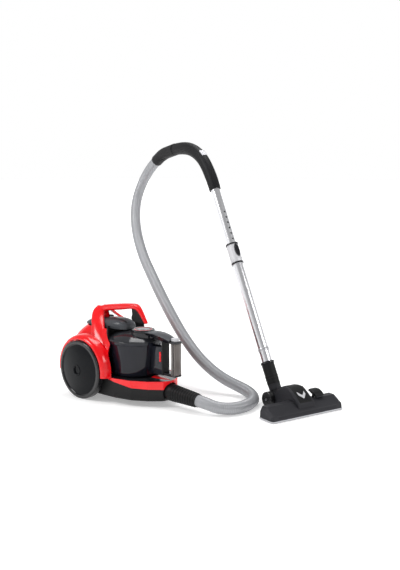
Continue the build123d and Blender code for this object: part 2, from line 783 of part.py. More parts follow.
# --- rear wheels ----------------------------------------------------------------------------
for side_name, side in (("left", 1), ("right", -1)):
    with BuildPart() as tyre:
        with BuildSketch(Plane.XZ.offset(-side * WHEEL_IN_Y)):
            with Locations((AXLE_X, WHEEL_R)):
                Circle(WHEEL_R)
                Circle(WHEEL_R - TYRE_DEPTH, mode=Mode.SUBTRACT)
        extrude(amount=-side * (WHEEL_OUT_Y - WHEEL_IN_Y))
        fillet(tyre.edges().filter_by(GeomType.CIRCLE).group_by(SortBy.RADIUS)[-1], 5)
    save(tyre, f"tyre_{side_name}")

    with BuildPart() as disc:
        with BuildSketch(Plane.XY):
            with BuildLine():
                Polyline((AXLE_R + SHAFT_GAP, 0), (WHEEL_R - TYRE_DEPTH, 0), (WHEEL_R - TYRE_DEPTH, 24))
                ThreePointArc((WHEEL_R - TYRE_DEPTH, 24), (48, 31), (18, 34))
                Polyline((18, 34), (14, 31), (0, 31), (0, 27), (AXLE_R + SHAFT_GAP, 27), (AXLE_R + SHAFT_GAP, 0))
            make_face()
        revolve(axis=Axis.Y)
        with BuildSketch(Plane.XZ):
            Circle(WHEEL_R - TYRE_DEPTH - 6)
            Circle(20, mode=Mode.SUBTRACT)
        extrude(amount=-19, mode=Mode.SUBTRACT)
    disc.part = disc.part.rotate(Axis.Z, 0 if side > 0 else 180)
    disc.part = disc.part.translate((AXLE_X, side * (WHEEL_IN_Y + 1), WHEEL_R))
    save(disc, f"wheel_disc_{side_name}")

with BuildPart() as wheel_axles:
    for side in (-1, 1):
        with BuildSketch(Plane.XZ.offset(-side * 86)):
            with Locations((AXLE_X, WHEEL_R)):
                Circle(AXLE_R)
        extrude(amount=-side * (WHEEL_IN_Y + 26 - 86))
save(wheel_axles, "wheel_axles")

# --- hose -----------------------------------------------------------------------------------
corners = [Vector(*point) for point in HOSE_ROUTE]
WAND_UP = Vector(0, 0, 1).rotate(Axis.Y, -WAND_TILT)
HANDLE_PATH = [(-508.1, 674.8), (-552.3, 755.3), (-640, 813), (-748, 822), (-858, 803), (-905, 779)]


def in_nozzle(x: float, z: float) -> Vector:
    """Give the row's point that lies at x and z in the wand's upright plane."""
    return NOZZLE.from_local_coords(Vector(x, 0, z))


handle_corners = [in_nozzle(x, z) for x, z in HANDLE_PATH]
hose_end = handle_corners[-1]
corners.append(hose_end - (handle_corners[-2] - hose_end).normalized() * HOSE_LEAD)
corners.append(hose_end)


def bend_radii(points: list) -> list:
    """Give, for each corner of a route, the largest radius that its two runs allow."""
    radii = []
    for before, corner, after in zip(points, points[1:], points[2:]):
        first = corner - before
        second = after - corner
        half_turn = first.get_angle(second) / 2
        radii.append(0.45 * min(first.length, second.length) / tan(radians(half_turn)))
    return radii


hose_radii = bend_radii(corners)
with BuildPart() as hose:
    with BuildLine() as hose_path:
        FilletPolyline(*corners, radius=hose_radii)
    with BuildSketch(Plane(origin=corners[0], z_dir=corners[1] - corners[0])):
        Circle(HOSE_R)
        Circle(HOSE_R - HOSE_WALL, mode=Mode.SUBTRACT)
    sweep()
save(hose, "hose")
hose_length = sum(edge.length for edge in hose_path.edges())
section = pi * (HOSE_R**2 - (HOSE_R - HOSE_WALL) ** 2)
print("hose radii", [round(radius) for radius in hose_radii])
print("hose length", round(hose_length), "volume ratio", round(hose.part.volume / (section * hose_length), 4))

with BuildPart() as hose_cuff:
    with BuildSketch(Plane(origin=on_inlet(0).origin, x_dir=on_inlet(0).z_dir, z_dir=(0, -1, 0))):
        with BuildLine():
            Polyline(
                (15, 17.0),
                (15, 21.9),
                (47.2, 21.9),
                (47.2, 27.5),
                (66, 27.5),
                (84, 25),
                (INLET_TO_HOSE, 20.5),
                (INLET_TO_HOSE, 17.0),
                close=True,
            )
        make_face()
    revolve(axis=Axis(on_inlet(0).origin, on_inlet(0).z_dir))
save(hose_cuff, "hose_cuff")

# --- handle ---------------------------------------------------------------------------------
SHELL_LEN = 30.0
cuff_dir = (handle_corners[3] - handle_corners[4]).normalized()
shell_end = handle_corners[3] - cuff_dir * SHELL_LEN
shell_points = handle_corners[:4] + [shell_end]
cuff_points = [shell_end] + handle_corners[4:]


def bent_pipe(points: list, outer: float, inner: float) -> Part:
    """Sweep a pipe of the given radii along a route with rounded corners."""
    with BuildPart() as pipe:
        with BuildLine():
            FilletPolyline(*points, radius=bend_radii(points))
        with BuildSketch(Plane(origin=points[0], z_dir=points[1] - points[0])):
            Circle(outer)
            Circle(inner, mode=Mode.SUBTRACT)
        sweep()
    return pipe.part


bend = bent_pipe(shell_points, HANDLE_R, HANDLE_R - 2.4)
for half_name, keep in (("handle_shell_left", Keep.TOP), ("handle_shell_right", Keep.BOTTOM)):
    with BuildPart() as half:
        add(bend)
        split(bisect_by=Plane(origin=hose_end, z_dir=NOZZLE.y_dir), keep=keep)
    save(half, half_name)

with BuildPart() as hose_end_cuff:
    add(bent_pipe(cuff_points, CUFF_R, 17.0))
    with BuildSketch(Plane(origin=shell_end, z_dir=cuff_dir)):
        Circle(CUFF_R)
        Circle(HANDLE_R + 0.02, mode=Mode.SUBTRACT)
    extrude(amount=9)
save(hose_end_cuff, "hose_end_cuff")

slider_run = (handle_corners[2] - handle_corners[1]).normalized()
slider_centre = handle_corners[1] + (handle_corners[2] - handle_corners[1]) * 0.5
slider_up = slider_run.cross(NOZZLE.y_dir) * -1
with BuildPart() as suction_slider:
    slider_plane = Plane(origin=slider_centre + slider_up * (HANDLE_R + 0.4), x_dir=slider_run, z_dir=slider_up)
    with BuildSketch(slider_plane):
        RectangleRounded(30, 20, 5)
    extrude(amount=5)
    fillet(suction_slider.edges().sort_by(SortBy.LENGTH)[-4:], 1)
save(suction_slider, "suction_slider")

# --- wand -----------------------------------------------------------------------------------
UPPER_START_S = 330.0
with BuildPart() as upper_tube:
    with BuildSketch(on_wand(UPPER_START_S)):
        Circle(UPPER_R)
        Circle(UPPER_R - TUBE_WALL, mode=Mode.SUBTRACT)
    extrude(amount=UPPER_END_S - UPPER_START_S)
    for index in range(NOTCH_COUNT):
        notch = on_wand(NOTCH_FIRST_S + index * NOTCH_PITCH)
        with BuildSketch(Plane(origin=notch.origin + notch.x_dir * (UPPER_R - 3), x_dir=notch.y_dir, z_dir=notch.x_dir)):
            Circle(2.5)
        extrude(amount=5, mode=Mode.SUBTRACT)
save(upper_tube, "upper_tube")

LOWER_START_S = 92.0
with BuildPart() as lower_tube:
    with BuildSketch(on_wand(LOWER_START_S)):
        Circle(LOWER_R)
        Circle(UPPER_R + 0.08, mode=Mode.SUBTRACT)
    extrude(amount=COLLAR_S + 14 - LOWER_START_S)
save(lower_tube, "lower_tube")

LATCH_LEN = 46.0
LATCH_W = 17.0
LATCH_MID_S = 507.0
with BuildPart() as wand_collar:
    with BuildSketch(on_wand(COLLAR_S)):
        Circle(LOWER_R + 1.5)
    with BuildSketch(on_wand(COLLAR_S + 16)):
        Circle(20.5)
    with BuildSketch(on_wand(COLLAR_END_S)):
        Circle(20.5)
    loft(ruled=True)
    with BuildSketch(on_wand(COLLAR_S - 1)):
        Circle(LOWER_R + 0.02)
    extrude(amount=15, mode=Mode.SUBTRACT)
    with BuildSketch(on_wand(COLLAR_S - 1)):
        Circle(UPPER_R + 0.08)
    extrude(amount=COLLAR_END_S - COLLAR_S + 4, mode=Mode.SUBTRACT)
    latch_base = on_wand(LATCH_MID_S)
    latch_plane = Plane(
        origin=latch_base.origin + latch_base.x_dir * (UPPER_R + 0.6),
        x_dir=latch_base.z_dir,
        z_dir=latch_base.x_dir,
    )
    with BuildSketch(latch_plane):
        Ellipse(LATCH_LEN / 2 + RUN_GAP, LATCH_W / 2 + RUN_GAP)
    extrude(amount=20, mode=Mode.SUBTRACT)
save(wand_collar, "wand_collar")

with BuildPart() as latch_button:
    with BuildSketch(latch_plane.offset(2.2)):
        Ellipse(LATCH_LEN / 2, LATCH_W / 2)
    extrude(amount=4.3)
    fillet(latch_button.faces().sort_by(Axis(latch_plane.origin, latch_plane.z_dir))[-1].edges(), 1.2)
save(latch_button, "latch_button")

# --- nozzle neck ----------------------------------------------------------------------------
NECK_START_S = 44.0
NECK_R = 20.5
with BuildPart() as neck_tube:
    with BuildSketch(on_wand(NECK_START_S)):
        Circle(NECK_R)
    extrude(amount=NECK_END_S - NECK_START_S)
    with BuildSketch(on_wand(NECK_END_S - 6)):
        Circle(NECK_R + 1.5)
    extrude(amount=6)
    with BuildSketch(on_wand(LOWER_START_S)):
        Circle(LOWER_R + 0.02)
    extrude(amount=60, mode=Mode.SUBTRACT)
    with BuildSketch(on_wand(NECK_START_S)):
        Circle(16.5)
    extrude(amount=60, mode=Mode.SUBTRACT)
save(neck_tube, "neck_tube")

ELBOW_R = 19.0
NOZZLE_AXLE_R = 4.0
pivot_plane = on_nozzle((PIVOT_X, 0, PIVOT_Z), (0, 1, 0), (1, 0, 0))
with BuildPart() as elbow:
    with BuildSketch(pivot_plane):
        Circle(ELBOW_R)
    extrude(amount=17, both=True)
    with BuildSketch(on_wand(0)):
        Circle(17)
    extrude(amount=26)
    with BuildSketch(on_wand(26)):
        Circle(ELBOW_R + 1)
    extrude(amount=17.6)
    with BuildSketch(on_wand(40)):
        Circle(16.4)
    extrude(amount=30)
    with BuildSketch(on_wand(14)):
        Circle(13.5)
    extrude(amount=80, mode=Mode.SUBTRACT)
    with BuildSketch(pivot_plane):
        Circle(NOZZLE_AXLE_R + SHAFT_GAP)
    extrude(amount=40, both=True, mode=Mode.SUBTRACT)
save(elbow, "elbow")

# --- floor nozzle ---------------------------------------------------------------------------
PEDAL_Y = 70.0
PEDAL_PIVOT = (-46.0, 47.5)
TOP_CREASE_Z = 22.0
TOP_BACK_Z = 42.0
END_CHAMFER = 7.0


def nozzle_block(inset: float) -> Part:
    """Give the nozzle's wide body, with every wall moved inwards by inset."""
    with BuildPart() as block:
        with BuildSketch(on_nozzle((0, -NOZZLE_W / 2 + inset, 0), (0, -1, 0))):
            with BuildLine():
                Polyline(
                    (-inset, 6),
                    (-1.5 - inset, TOP_CREASE_Z - inset),
                    (-36, TOP_BACK_Z - inset),
                    (-58, TOP_BACK_Z - inset),
                    (-NOZZLE_D + inset, 26 - inset),
                    (-NOZZLE_D + inset, 6),
                    close=True,
                )
            make_face()
        extrude(amount=-(NOZZLE_W - 2 * inset))
        ends = block.faces().sort_by(Axis(NOZZLE.origin, NOZZLE.y_dir))
        for end in (ends[0], ends[-1]):
            top_edges = end.edges().filter_by(lambda edge: edge.center().Z > 8 + inset)
            chamfer(top_edges, END_CHAMFER)
    return block.part


HUMP_W = 56.0
HUMP = [(-128, 10), (-122, 64), (-92, 76), (-62, 77), (-22, 48), (-22, 20), (-60, 10)]
EAR_Y = 19.0
with BuildPart() as nozzle_top:
    add(nozzle_block(0))
    with BuildSketch(on_nozzle((0, -HUMP_W / 2, 0), (0, -1, 0))):
        with BuildLine():
            Polyline(*HUMP, close=True)
        make_face()
    extrude(amount=-HUMP_W)
    for side in (-1, 1):
        with BuildSketch(on_nozzle((0, side * (EAR_Y + 4), 0), (0, -1, 0))):
            with BuildLine():
                Polyline((-100, 12), (-100, 60), (-140, 44), (-166, 34), (-166, 14), (-150, 10), close=True)
            make_face()
        extrude(amount=4, both=True)
    add(nozzle_block(2.5), mode=Mode.SUBTRACT)
    with BuildSketch(pivot_plane):
        Circle(NOZZLE_AXLE_R)
    extrude(amount=60, both=True, mode=Mode.SUBTRACT)
    with BuildSketch(pivot_plane):
        Circle(30)
    extrude(amount=EAR_Y - 1, both=True, mode=Mode.SUBTRACT)
    with BuildSketch(on_nozzle((0, 0, 0), (0, -1, 0))):
        with BuildLine():
            Polyline((-130, 20), (-130, 60), (-108, 60), (-64, 66), (-40, 36), (-64, 12), (-118, 12), close=True)
        make_face()
    extrude(amount=15, both=True, mode=Mode.SUBTRACT)
    for side in (-1, 1):
        with BuildSketch(on_nozzle((0, PEDAL_Y + side * 15, 0), (0, -1, 0))):
            with Locations((PEDAL_PIVOT[0], PEDAL_PIVOT[1] - 1)):
                Rectangle(8, 11)
        extrude(amount=1.2, both=True)
    with BuildSketch(on_nozzle((0, PEDAL_Y, 0), (0, -1, 0))):
        with Locations(PEDAL_PIVOT):
            Circle(2)
    extrude(amount=15, both=True)
save(nozzle_top, "nozzle_top")

with BuildPart() as nozzle_axle:
    with BuildSketch(pivot_plane):
        Circle(NOZZLE_AXLE_R)
    extrude(amount=49, both=True)
save(nozzle_axle, "nozzle_axle")

ROLLER_R = 24.5
for side_name, side in (("left", 1), ("right", -1)):
    with BuildPart() as roller:
        with BuildSketch(pivot_plane.offset(side * 29)):
            Circle(ROLLER_R)
            Circle(NOZZLE_AXLE_R + SHAFT_GAP, mode=Mode.SUBTRACT)
        extrude(amount=side * 18)
        fillet(roller.edges().filter_by(GeomType.CIRCLE).group_by(SortBy.RADIUS)[-1], 2.5)
    save(roller, f"roller_{side_name}")

with BuildPart() as sole_plate:
    with BuildSketch(on_nozzle((0, 0, 0))):
        with Locations((-NOZZLE_D / 2, 0)):
            RectangleRounded(NOZZLE_D - 1, NOZZLE_W - 1, 4)
        with Locations((-26, 0)):
            RectangleRounded(16, 230, 3, mode=Mode.SUBTRACT)
        with Locations((-10.5, 0), (-50, 0)):
            Rectangle(6.6, 240.6, mode=Mode.SUBTRACT)
    extrude(amount=6)
save(sole_plate, "sole_plate")

with BuildPart() as brush_strips:
    with BuildSketch(on_nozzle((0, 0, 1))):
        with Locations((-10.5, 0), (-50, 0)):
            Rectangle(6, 240)
    extrude(amount=9)
    with BuildSketch(on_nozzle((0, 0, 10))):
        with Locations((-30.25, 0)):
            Rectangle(45.5, 240)
            Rectangle(30, 228, mode=Mode.SUBTRACT)
    extrude(amount=2)
save(brush_strips, "brush_strips")

with BuildPart() as pedal:
    with BuildSketch(on_nozzle((0, PEDAL_Y, 0), (0, -1, 0))):
        with BuildLine():
            Polyline((-66, 56), (-64, 61), (-44, 56), (-28, 44.6), (-32, 42.6), (-46, 48), (-60, 52), close=True)
        make_face()
        with Locations(PEDAL_PIVOT):
            Circle(4.2)
            Circle(2 + SHAFT_GAP, mode=Mode.SUBTRACT)
    extrude(amount=13, both=True)
save(pedal, "pedal")
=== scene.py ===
"""Canister vacuum cleaner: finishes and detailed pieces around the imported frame.

Lengths in the classes are millimetres in the frame's own axes, and become metres where a mesh is made.
"""

import json
import logging
import math
from collections.abc import Callable, Sequence
from dataclasses import dataclass
from enum import Enum
from typing import Any

import bmesh
import bpy
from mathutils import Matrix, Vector


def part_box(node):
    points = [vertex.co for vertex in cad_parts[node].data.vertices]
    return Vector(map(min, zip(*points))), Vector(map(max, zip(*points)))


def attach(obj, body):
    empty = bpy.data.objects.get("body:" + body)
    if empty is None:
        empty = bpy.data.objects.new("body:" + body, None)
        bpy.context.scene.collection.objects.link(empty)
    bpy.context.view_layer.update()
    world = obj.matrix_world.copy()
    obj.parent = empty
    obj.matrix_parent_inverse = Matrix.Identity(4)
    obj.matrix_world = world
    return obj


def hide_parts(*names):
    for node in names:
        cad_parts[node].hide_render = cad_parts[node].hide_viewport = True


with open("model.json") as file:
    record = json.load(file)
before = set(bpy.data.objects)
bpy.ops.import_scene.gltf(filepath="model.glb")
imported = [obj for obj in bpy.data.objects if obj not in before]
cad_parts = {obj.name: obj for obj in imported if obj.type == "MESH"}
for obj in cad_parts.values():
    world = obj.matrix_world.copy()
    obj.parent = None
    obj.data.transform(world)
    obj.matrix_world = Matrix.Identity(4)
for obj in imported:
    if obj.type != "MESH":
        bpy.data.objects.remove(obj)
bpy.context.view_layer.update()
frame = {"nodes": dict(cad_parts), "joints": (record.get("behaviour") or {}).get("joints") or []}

LOG = logging.getLogger("vacuum")
MM = 0.001
Point = Sequence[float]
Colour = tuple[float, float, float]
UP = Vector((0, 0, 1))
SIDES = (("left", 1), ("right", -1))


def millimetres(point: Sequence[float]) -> Vector:
    """Turn a point given in metres into millimetres."""
    return Vector(point) / MM


def joint(name: str) -> dict[str, Any]:
    """Find a joint of the record by its name.

    Args:
        name: The joint's name.

    Returns:
        The joint's own entry in the record.
    """
    return next(entry for entry in frame["joints"] if entry["name"] == name)


# --- shader maths ---------------------------------------------------------------------------
class Value:
    """An output socket that takes part in Python sums, each of which adds a Math node."""

    def __init__(self, shop: "Shop", socket: bpy.types.NodeSocket) -> None:
        """Keep the node tree's helper and the socket that this value stands for."""
        self.shop = shop
        self.socket = socket

    def _math(self, operation: str, first: Any, second: Any) -> "Value":
        """Add one Math node.

        Args:
            operation: The node's operation.
            first: Its first value.
            second: Its second value.

        Returns:
            The node's result.
        """
        return self.shop.node("ShaderNodeMath", {"operation": operation}, {0: first, 1: second})

    def __add__(self, other: Any) -> "Value":
        """Give self + other."""
        return self._math("ADD", self, other)

    def __radd__(self, other: Any) -> "Value":
        """Give other + self."""
        return self._math("ADD", other, self)

    def __sub__(self, other: Any) -> "Value":
        """Give self - other."""
        return self._math("SUBTRACT", self, other)

    def __rsub__(self, other: Any) -> "Value":
        """Give other - self."""
        return self._math("SUBTRACT", other, self)

    def __mul__(self, other: Any) -> "Value":
        """Give self * other."""
        return self._math("MULTIPLY", self, other)

    def __rmul__(self, other: Any) -> "Value":
        """Give other * self."""
        return self._math("MULTIPLY", other, self)

    def clamp(self) -> "Value":
        """Keep the value between 0 and 1."""
        return self.shop.node("ShaderNodeClamp", {}, {"Value": self})


class Shop:
    """One material's node tree, with a method that makes any node."""

    def __init__(self, name: str, tree: bpy.types.NodeTree | None = None) -> None:
        """Start a material with an empty tree, or take a tree that is there.

        Args:
            name: The material's name.
            tree: The tree that is already there.
        """
        self.tree = tree
        if tree is None:
            self.material = bpy.data.materials.new(name)
            self.material.use_nodes = True
            self.tree = self.material.node_tree
            self.tree.nodes.clear()

    def node(self, kind: str, settings: dict[str, Any], inputs: dict[Any, Any], output: Any = 0) -> Value:
        """Add a node, its settings first and then its sockets.

        Args:
            kind: The node's type.
            settings: Its attributes.
            inputs: Values or links of its input sockets, by name or number.
            output: The name or number of the output that is wanted.

        Returns:
            The chosen output.
        """
        made = self.tree.nodes.new(kind)
        for key, setting in settings.items():
            setattr(made, key, setting)
        for key, value in inputs.items():
            if isinstance(value, Value):
                self.tree.links.new(value.socket, made.inputs[key])
            else:
                made.inputs[key].default_value = value
        return Value(self, made.outputs[output])

    def place(self) -> Value:
        """Give the point on the piece, in the frame's axes and in metres."""
        return self.node("ShaderNodeTexCoord", {}, {}, "Object")

    def room(self) -> Value:
        """Give the direction that light comes from in the room."""
        return self.node("ShaderNodeTexCoord", {}, {}, "Generated")

    def axes(self, stretch: Point) -> Value:
        """Give the piece's point, stretched by a scale along each axis."""
        return self.node("ShaderNodeMapping", {}, {"Vector": self.place(), "Scale": stretch})

    def noise(self, scale: float, detail: float = 3.0, roughness: float = 0.55, at: Value | None = None) -> Value:
        """Give cloudy noise from 0 to 1.

        Args:
            scale: Its frequency, per metre.
            detail: How many finer layers it has.
            roughness: How strong the finer layers are.
            at: The point it is read at, where that isn't the piece's own.

        Returns:
            The noise's value.
        """
        where = at or self.place()
        inputs = {"Vector": where, "Scale": scale, "Detail": detail, "Roughness": roughness}
        return self.node("ShaderNodeTexNoise", {}, inputs, "Fac")

    def between(self, share: Value, low: Point, high: Point) -> Value:
        """Mix two colours.

        Args:
            share: How much of the second one.
            low: The first colour.
            high: The second colour.

        Returns:
            The mixed colour.
        """
        low_value = low if isinstance(low, Value) else (*low, 1.0)
        high_value = high if isinstance(high, Value) else (*high, 1.0)
        settings = {"data_type": "RGBA"}
        return self.node("ShaderNodeMix", settings, {0: share, 6: low_value, 7: high_value}, 2)

    def spread(self, value: Value, low: float, high: float) -> Value:
        """Stretch part of a value's range to 0..1, with soft ends.

        Args:
            value: The value.
            low: What becomes 0.
            high: What becomes 1.

        Returns:
            The stretched value.
        """
        settings = {"interpolation_type": "SMOOTHSTEP"}
        return self.node("ShaderNodeMapRange", settings, {"Value": value, "From Min": low, "From Max": high})

    def edges(self, low: float = 0.53, high: float = 0.62) -> Value:
        """Give 1 on the piece's outer edges and 0 elsewhere."""
        return self.spread(self.node("ShaderNodeNewGeometry", {}, {}, "Pointiness"), low, high)

    def bump(self, height: Value, distance: float, strength: float = 1.0) -> Value:
        """Turn a height into a normal.

        Args:
            height: The height, from 0 to 1.
            distance: What a height of 1 stands for, in metres.
            strength: How much of the bump is used.

        Returns:
            The bumped normal.
        """
        return self.node("ShaderNodeBump", {}, {"Height": height, "Distance": distance, "Strength": strength})

    def finish(self, inputs: dict[Any, Any]) -> bpy.types.Material:
        """Close the tree with a Principled shader.

        Args:
            inputs: Values or links of the shader's sockets.

        Returns:
            The material.
        """
        shader = self.node("ShaderNodeBsdfPrincipled", {}, inputs)
        out = self.tree.nodes.new("ShaderNodeOutputMaterial")
        self.tree.links.new(shader.socket, out.inputs["Surface"])
        return self.material


# --- finishes -------------------------------------------------------------------------------
@dataclass(frozen=True)
class Finish:
    """A surface finish, built once and shared by the pieces that wear it."""

    name: str
    slot: str
    colour: Colour
    second: Colour
    roughness: float

    def build(self) -> bpy.types.Material:
        """Give the finish's material, and make it the first time."""
        made = bpy.data.materials.get(self.name)
        return made or self.make(Shop(self.name))

    def make(self, shop: Shop) -> bpy.types.Material:
        """Make the material in an empty node tree."""
        raise NotImplementedError


@dataclass(frozen=True)
class GlossShell(Finish):
    """Injection moulded plastic under a clear, polished surface."""

    coat: float = 0.6
    shine: float = 0.5
    ripple: float = 0.00006

    def make(self, shop: Shop) -> bpy.types.Material:
        """Make the material.

        Args:
            shop: The empty node tree.

        Returns:
            The material.
        """
        cloud = shop.noise(9.0)
        scuff = shop.spread(shop.noise(700.0, 4.0, 0.7, shop.axes((1.0, 0.12, 0.3))), 0.62, 0.78)
        tint = shop.between(cloud, self.colour, self.second)
        worn = shop.between(shop.edges() * 0.25, tint, tuple(min(1.0, part * 1.5 + 0.03) for part in self.colour))
        haze = self.roughness + 0.05 * shop.noise(30.0) + 0.12 * scuff
        normal = shop.bump(shop.noise(60.0, 1.0), self.ripple, 0.6)
        return shop.finish(
            {
                "Base Color": worn,
                "Roughness": haze,
                "Normal": normal,
                "Coat Weight": self.coat,
                "Coat Roughness": 0.03,
                "Specular IOR Level": self.shine,
                "IOR": 1.5,
            }
        )


@dataclass(frozen=True)
class SatinPlastic(Finish):
    """Moulded plastic with a fine, even grain."""

    grain: float = 1500.0
    depth: float = 0.00006
    shine: float = 0.16

    def make(self, shop: Shop) -> bpy.types.Material:
        """Make the material.

        Args:
            shop: The empty node tree.

        Returns:
            The material.
        """
        grain = shop.noise(self.grain, 2.0, 0.6)
        cloud = shop.noise(14.0)
        tint = shop.between(cloud, self.colour, self.second)
        worn = shop.between(shop.edges(0.54, 0.66) * 0.35, tint, tuple(part * 1.8 + 0.02 for part in self.colour))
        haze = self.roughness + 0.12 * shop.noise(45.0) - 0.05 * grain
        return shop.finish(
            {
                "Base Color": worn,
                "Roughness": haze,
                "Normal": shop.bump(grain, self.depth, 0.8),
                "Specular IOR Level": self.shine,
            }
        )


@dataclass(frozen=True)
class SmokePlastic(Finish):
    """Tinted transparent plastic, polished on both sides."""

    cover: float = 0.6

    def make(self, shop: Shop) -> bpy.types.Material:
        """Make the material.

        Args:
            shop: The empty node tree.

        Returns:
            The material.
        """
        cloud = shop.noise(12.0)
        dust = shop.spread(shop.noise(90.0, 5.0, 0.7), 0.55, 0.85)
        tint = shop.between(cloud, self.colour, self.second)
        normal = shop.bump(shop.noise(35.0, 1.0), 0.00006, 0.6)
        return shop.finish(
            {
                "Base Color": tint,
                "Roughness": self.roughness + 0.1 * dust,
                "Alpha": (self.cover + 0.06 * dust + 0.25 * shop.edges(0.55, 0.7)).clamp(),
                "Normal": normal,
                "Coat Weight": 0.12,
                "Coat Roughness": 0.02,
                "Specular IOR Level": 0.3,
                "IOR": 1.5,
            }
        )


@dataclass(frozen=True)
class DrawnMetal(Finish):
    """Bright metal tube, with faint lines along its length."""

    metallic: float = 1.0
    stretch: tuple[float, float, float] = (900.0, 900.0, 12.0)

    def make(self, shop: Shop) -> bpy.types.Material:
        """Make the material.

        Args:
            shop: The empty node tree.

        Returns:
            The material.
        """
        lines = shop.noise(1.0, 3.0, 0.6, shop.axes(self.stretch))
        tint = shop.between(shop.noise(11.0), self.colour, self.second)
        marks = shop.spread(shop.noise(160.0, 4.0, 0.75), 0.62, 0.8)
        haze = self.roughness + 0.08 * lines + 0.12 * marks
        return shop.finish(
            {
                "Base Color": tint,
                "Metallic": self.metallic,
                "Roughness": haze,
                "Normal": shop.bump(lines, 0.00002, 0.5),
            }
        )


@dataclass(frozen=True)
class SoftRubber(Finish):
    """Black rubber with a dull, slightly dusty face."""

    def make(self, shop: Shop) -> bpy.types.Material:
        """Make the material.

        Args:
            shop: The empty node tree.

        Returns:
            The material.
        """
        dust = shop.spread(shop.noise(120.0, 5.0, 0.7), 0.5, 0.85)
        tint = shop.between(dust * 0.5, self.colour, self.second)
        haze = self.roughness + 0.15 * dust
        return shop.finish({"Base Color": tint, "Roughness": haze, "Normal": shop.bump(shop.noise(800.0), 0.00005)})


@dataclass(frozen=True)
class Fleece(Finish):
    """Open foam, pleated filter paper or dense bristle."""

    scale: float = 900.0
    depth: float = 0.0006

    def make(self, shop: Shop) -> bpy.types.Material:
        """Make the material.

        Args:
            shop: The empty node tree.

        Returns:
            The material.
        """
        cells = shop.node("ShaderNodeTexVoronoi", {}, {"Vector": shop.place(), "Scale": self.scale}, "Distance")
        tint = shop.between(cells, self.colour, self.second)
        return shop.finish(
            {"Base Color": tint, "Roughness": 0.85 + 0.1 * cells, "Normal": shop.bump(cells, self.depth)}
        )


class Finishes(Enum):
    """Every finish on the cleaner."""

    RED = GlossShell("red_gloss_shell", "red_gloss", (0.76, 0.0, 0.004), (0.68, 0.0, 0.003), 0.2, 0.3, 0.3)
    PIANO = GlossShell(
        "black_gloss_shell", "black_gloss", (0.003, 0.003, 0.005), (0.005, 0.005, 0.008), 0.12, 0.2, 0.35
    )
    DISC = GlossShell(
        "wheel_disc_shell", "wheel_disc", (0.0016, 0.0022, 0.0034), (0.0024, 0.0032, 0.0046), 0.2, 0.03, 0.1
    )
    BASE = SatinPlastic("black_satin_base", "black_satin", (0.006, 0.006, 0.006), (0.009, 0.009, 0.010), 0.45)
    GRIP = SatinPlastic("black_satin_grip", "black_satin", (0.006, 0.006, 0.007), (0.009, 0.009, 0.010), 0.48, 2200.0)
    CHARCOAL = SatinPlastic("charcoal_nozzle", "charcoal", (0.017, 0.017, 0.020), (0.024, 0.024, 0.028), 0.42)
    GREY = SatinPlastic("grey_cover", "grey_light", (0.075, 0.079, 0.087), (0.058, 0.062, 0.069), 0.2, 1900.0, 0.00003)
    SMOKE = SmokePlastic("smoke_cup", "smoke_dark", (0.006, 0.007, 0.012), (0.008, 0.009, 0.016), 0.06, 0.93)
    LID = SmokePlastic("smoke_lid", "smoke_dark", (0.016, 0.017, 0.020), (0.022, 0.023, 0.027), 0.12, 0.95)
    AMBER = SmokePlastic("smoke_grip", "smoke_brown", (0.13, 0.112, 0.105), (0.16, 0.14, 0.13), 0.08, 0.78)
    TUBE = DrawnMetal("bright_tube", "tube_chrome", (0.80, 0.80, 0.82), (0.72, 0.72, 0.75), 0.20)
    STEEL = DrawnMetal("turned_steel", "steel", (0.42, 0.42, 0.44), (0.50, 0.50, 0.52), 0.28)
    SILVER = DrawnMetal("silver_paint", "silver_paint", (0.55, 0.55, 0.57), (0.48, 0.48, 0.50), 0.28, metallic=0.7)
    TYRE = SoftRubber("tyre_rubber", "tyre_black", (0.008, 0.008, 0.009), (0.03, 0.03, 0.03), 0.25)
    HOSE = DrawnMetal("hose_vinyl", "hose_grey", (0.33, 0.335, 0.35), (0.28, 0.285, 0.30), 0.34, metallic=0.35)
    FOAM = Fleece("filter_foam", "filter_foam", (0.20, 0.20, 0.21), (0.5, 0.5, 0.5), 0.8)
    BRISTLE = Fleece("brush_bristle", "bristle", (0.012, 0.012, 0.012), (0.05, 0.05, 0.05), 0.8, 2500.0)
    BOARD = GlossShell("circuit_board", "board_green", (0.01, 0.08, 0.03), (0.015, 0.10, 0.04), 0.3, 0.2)


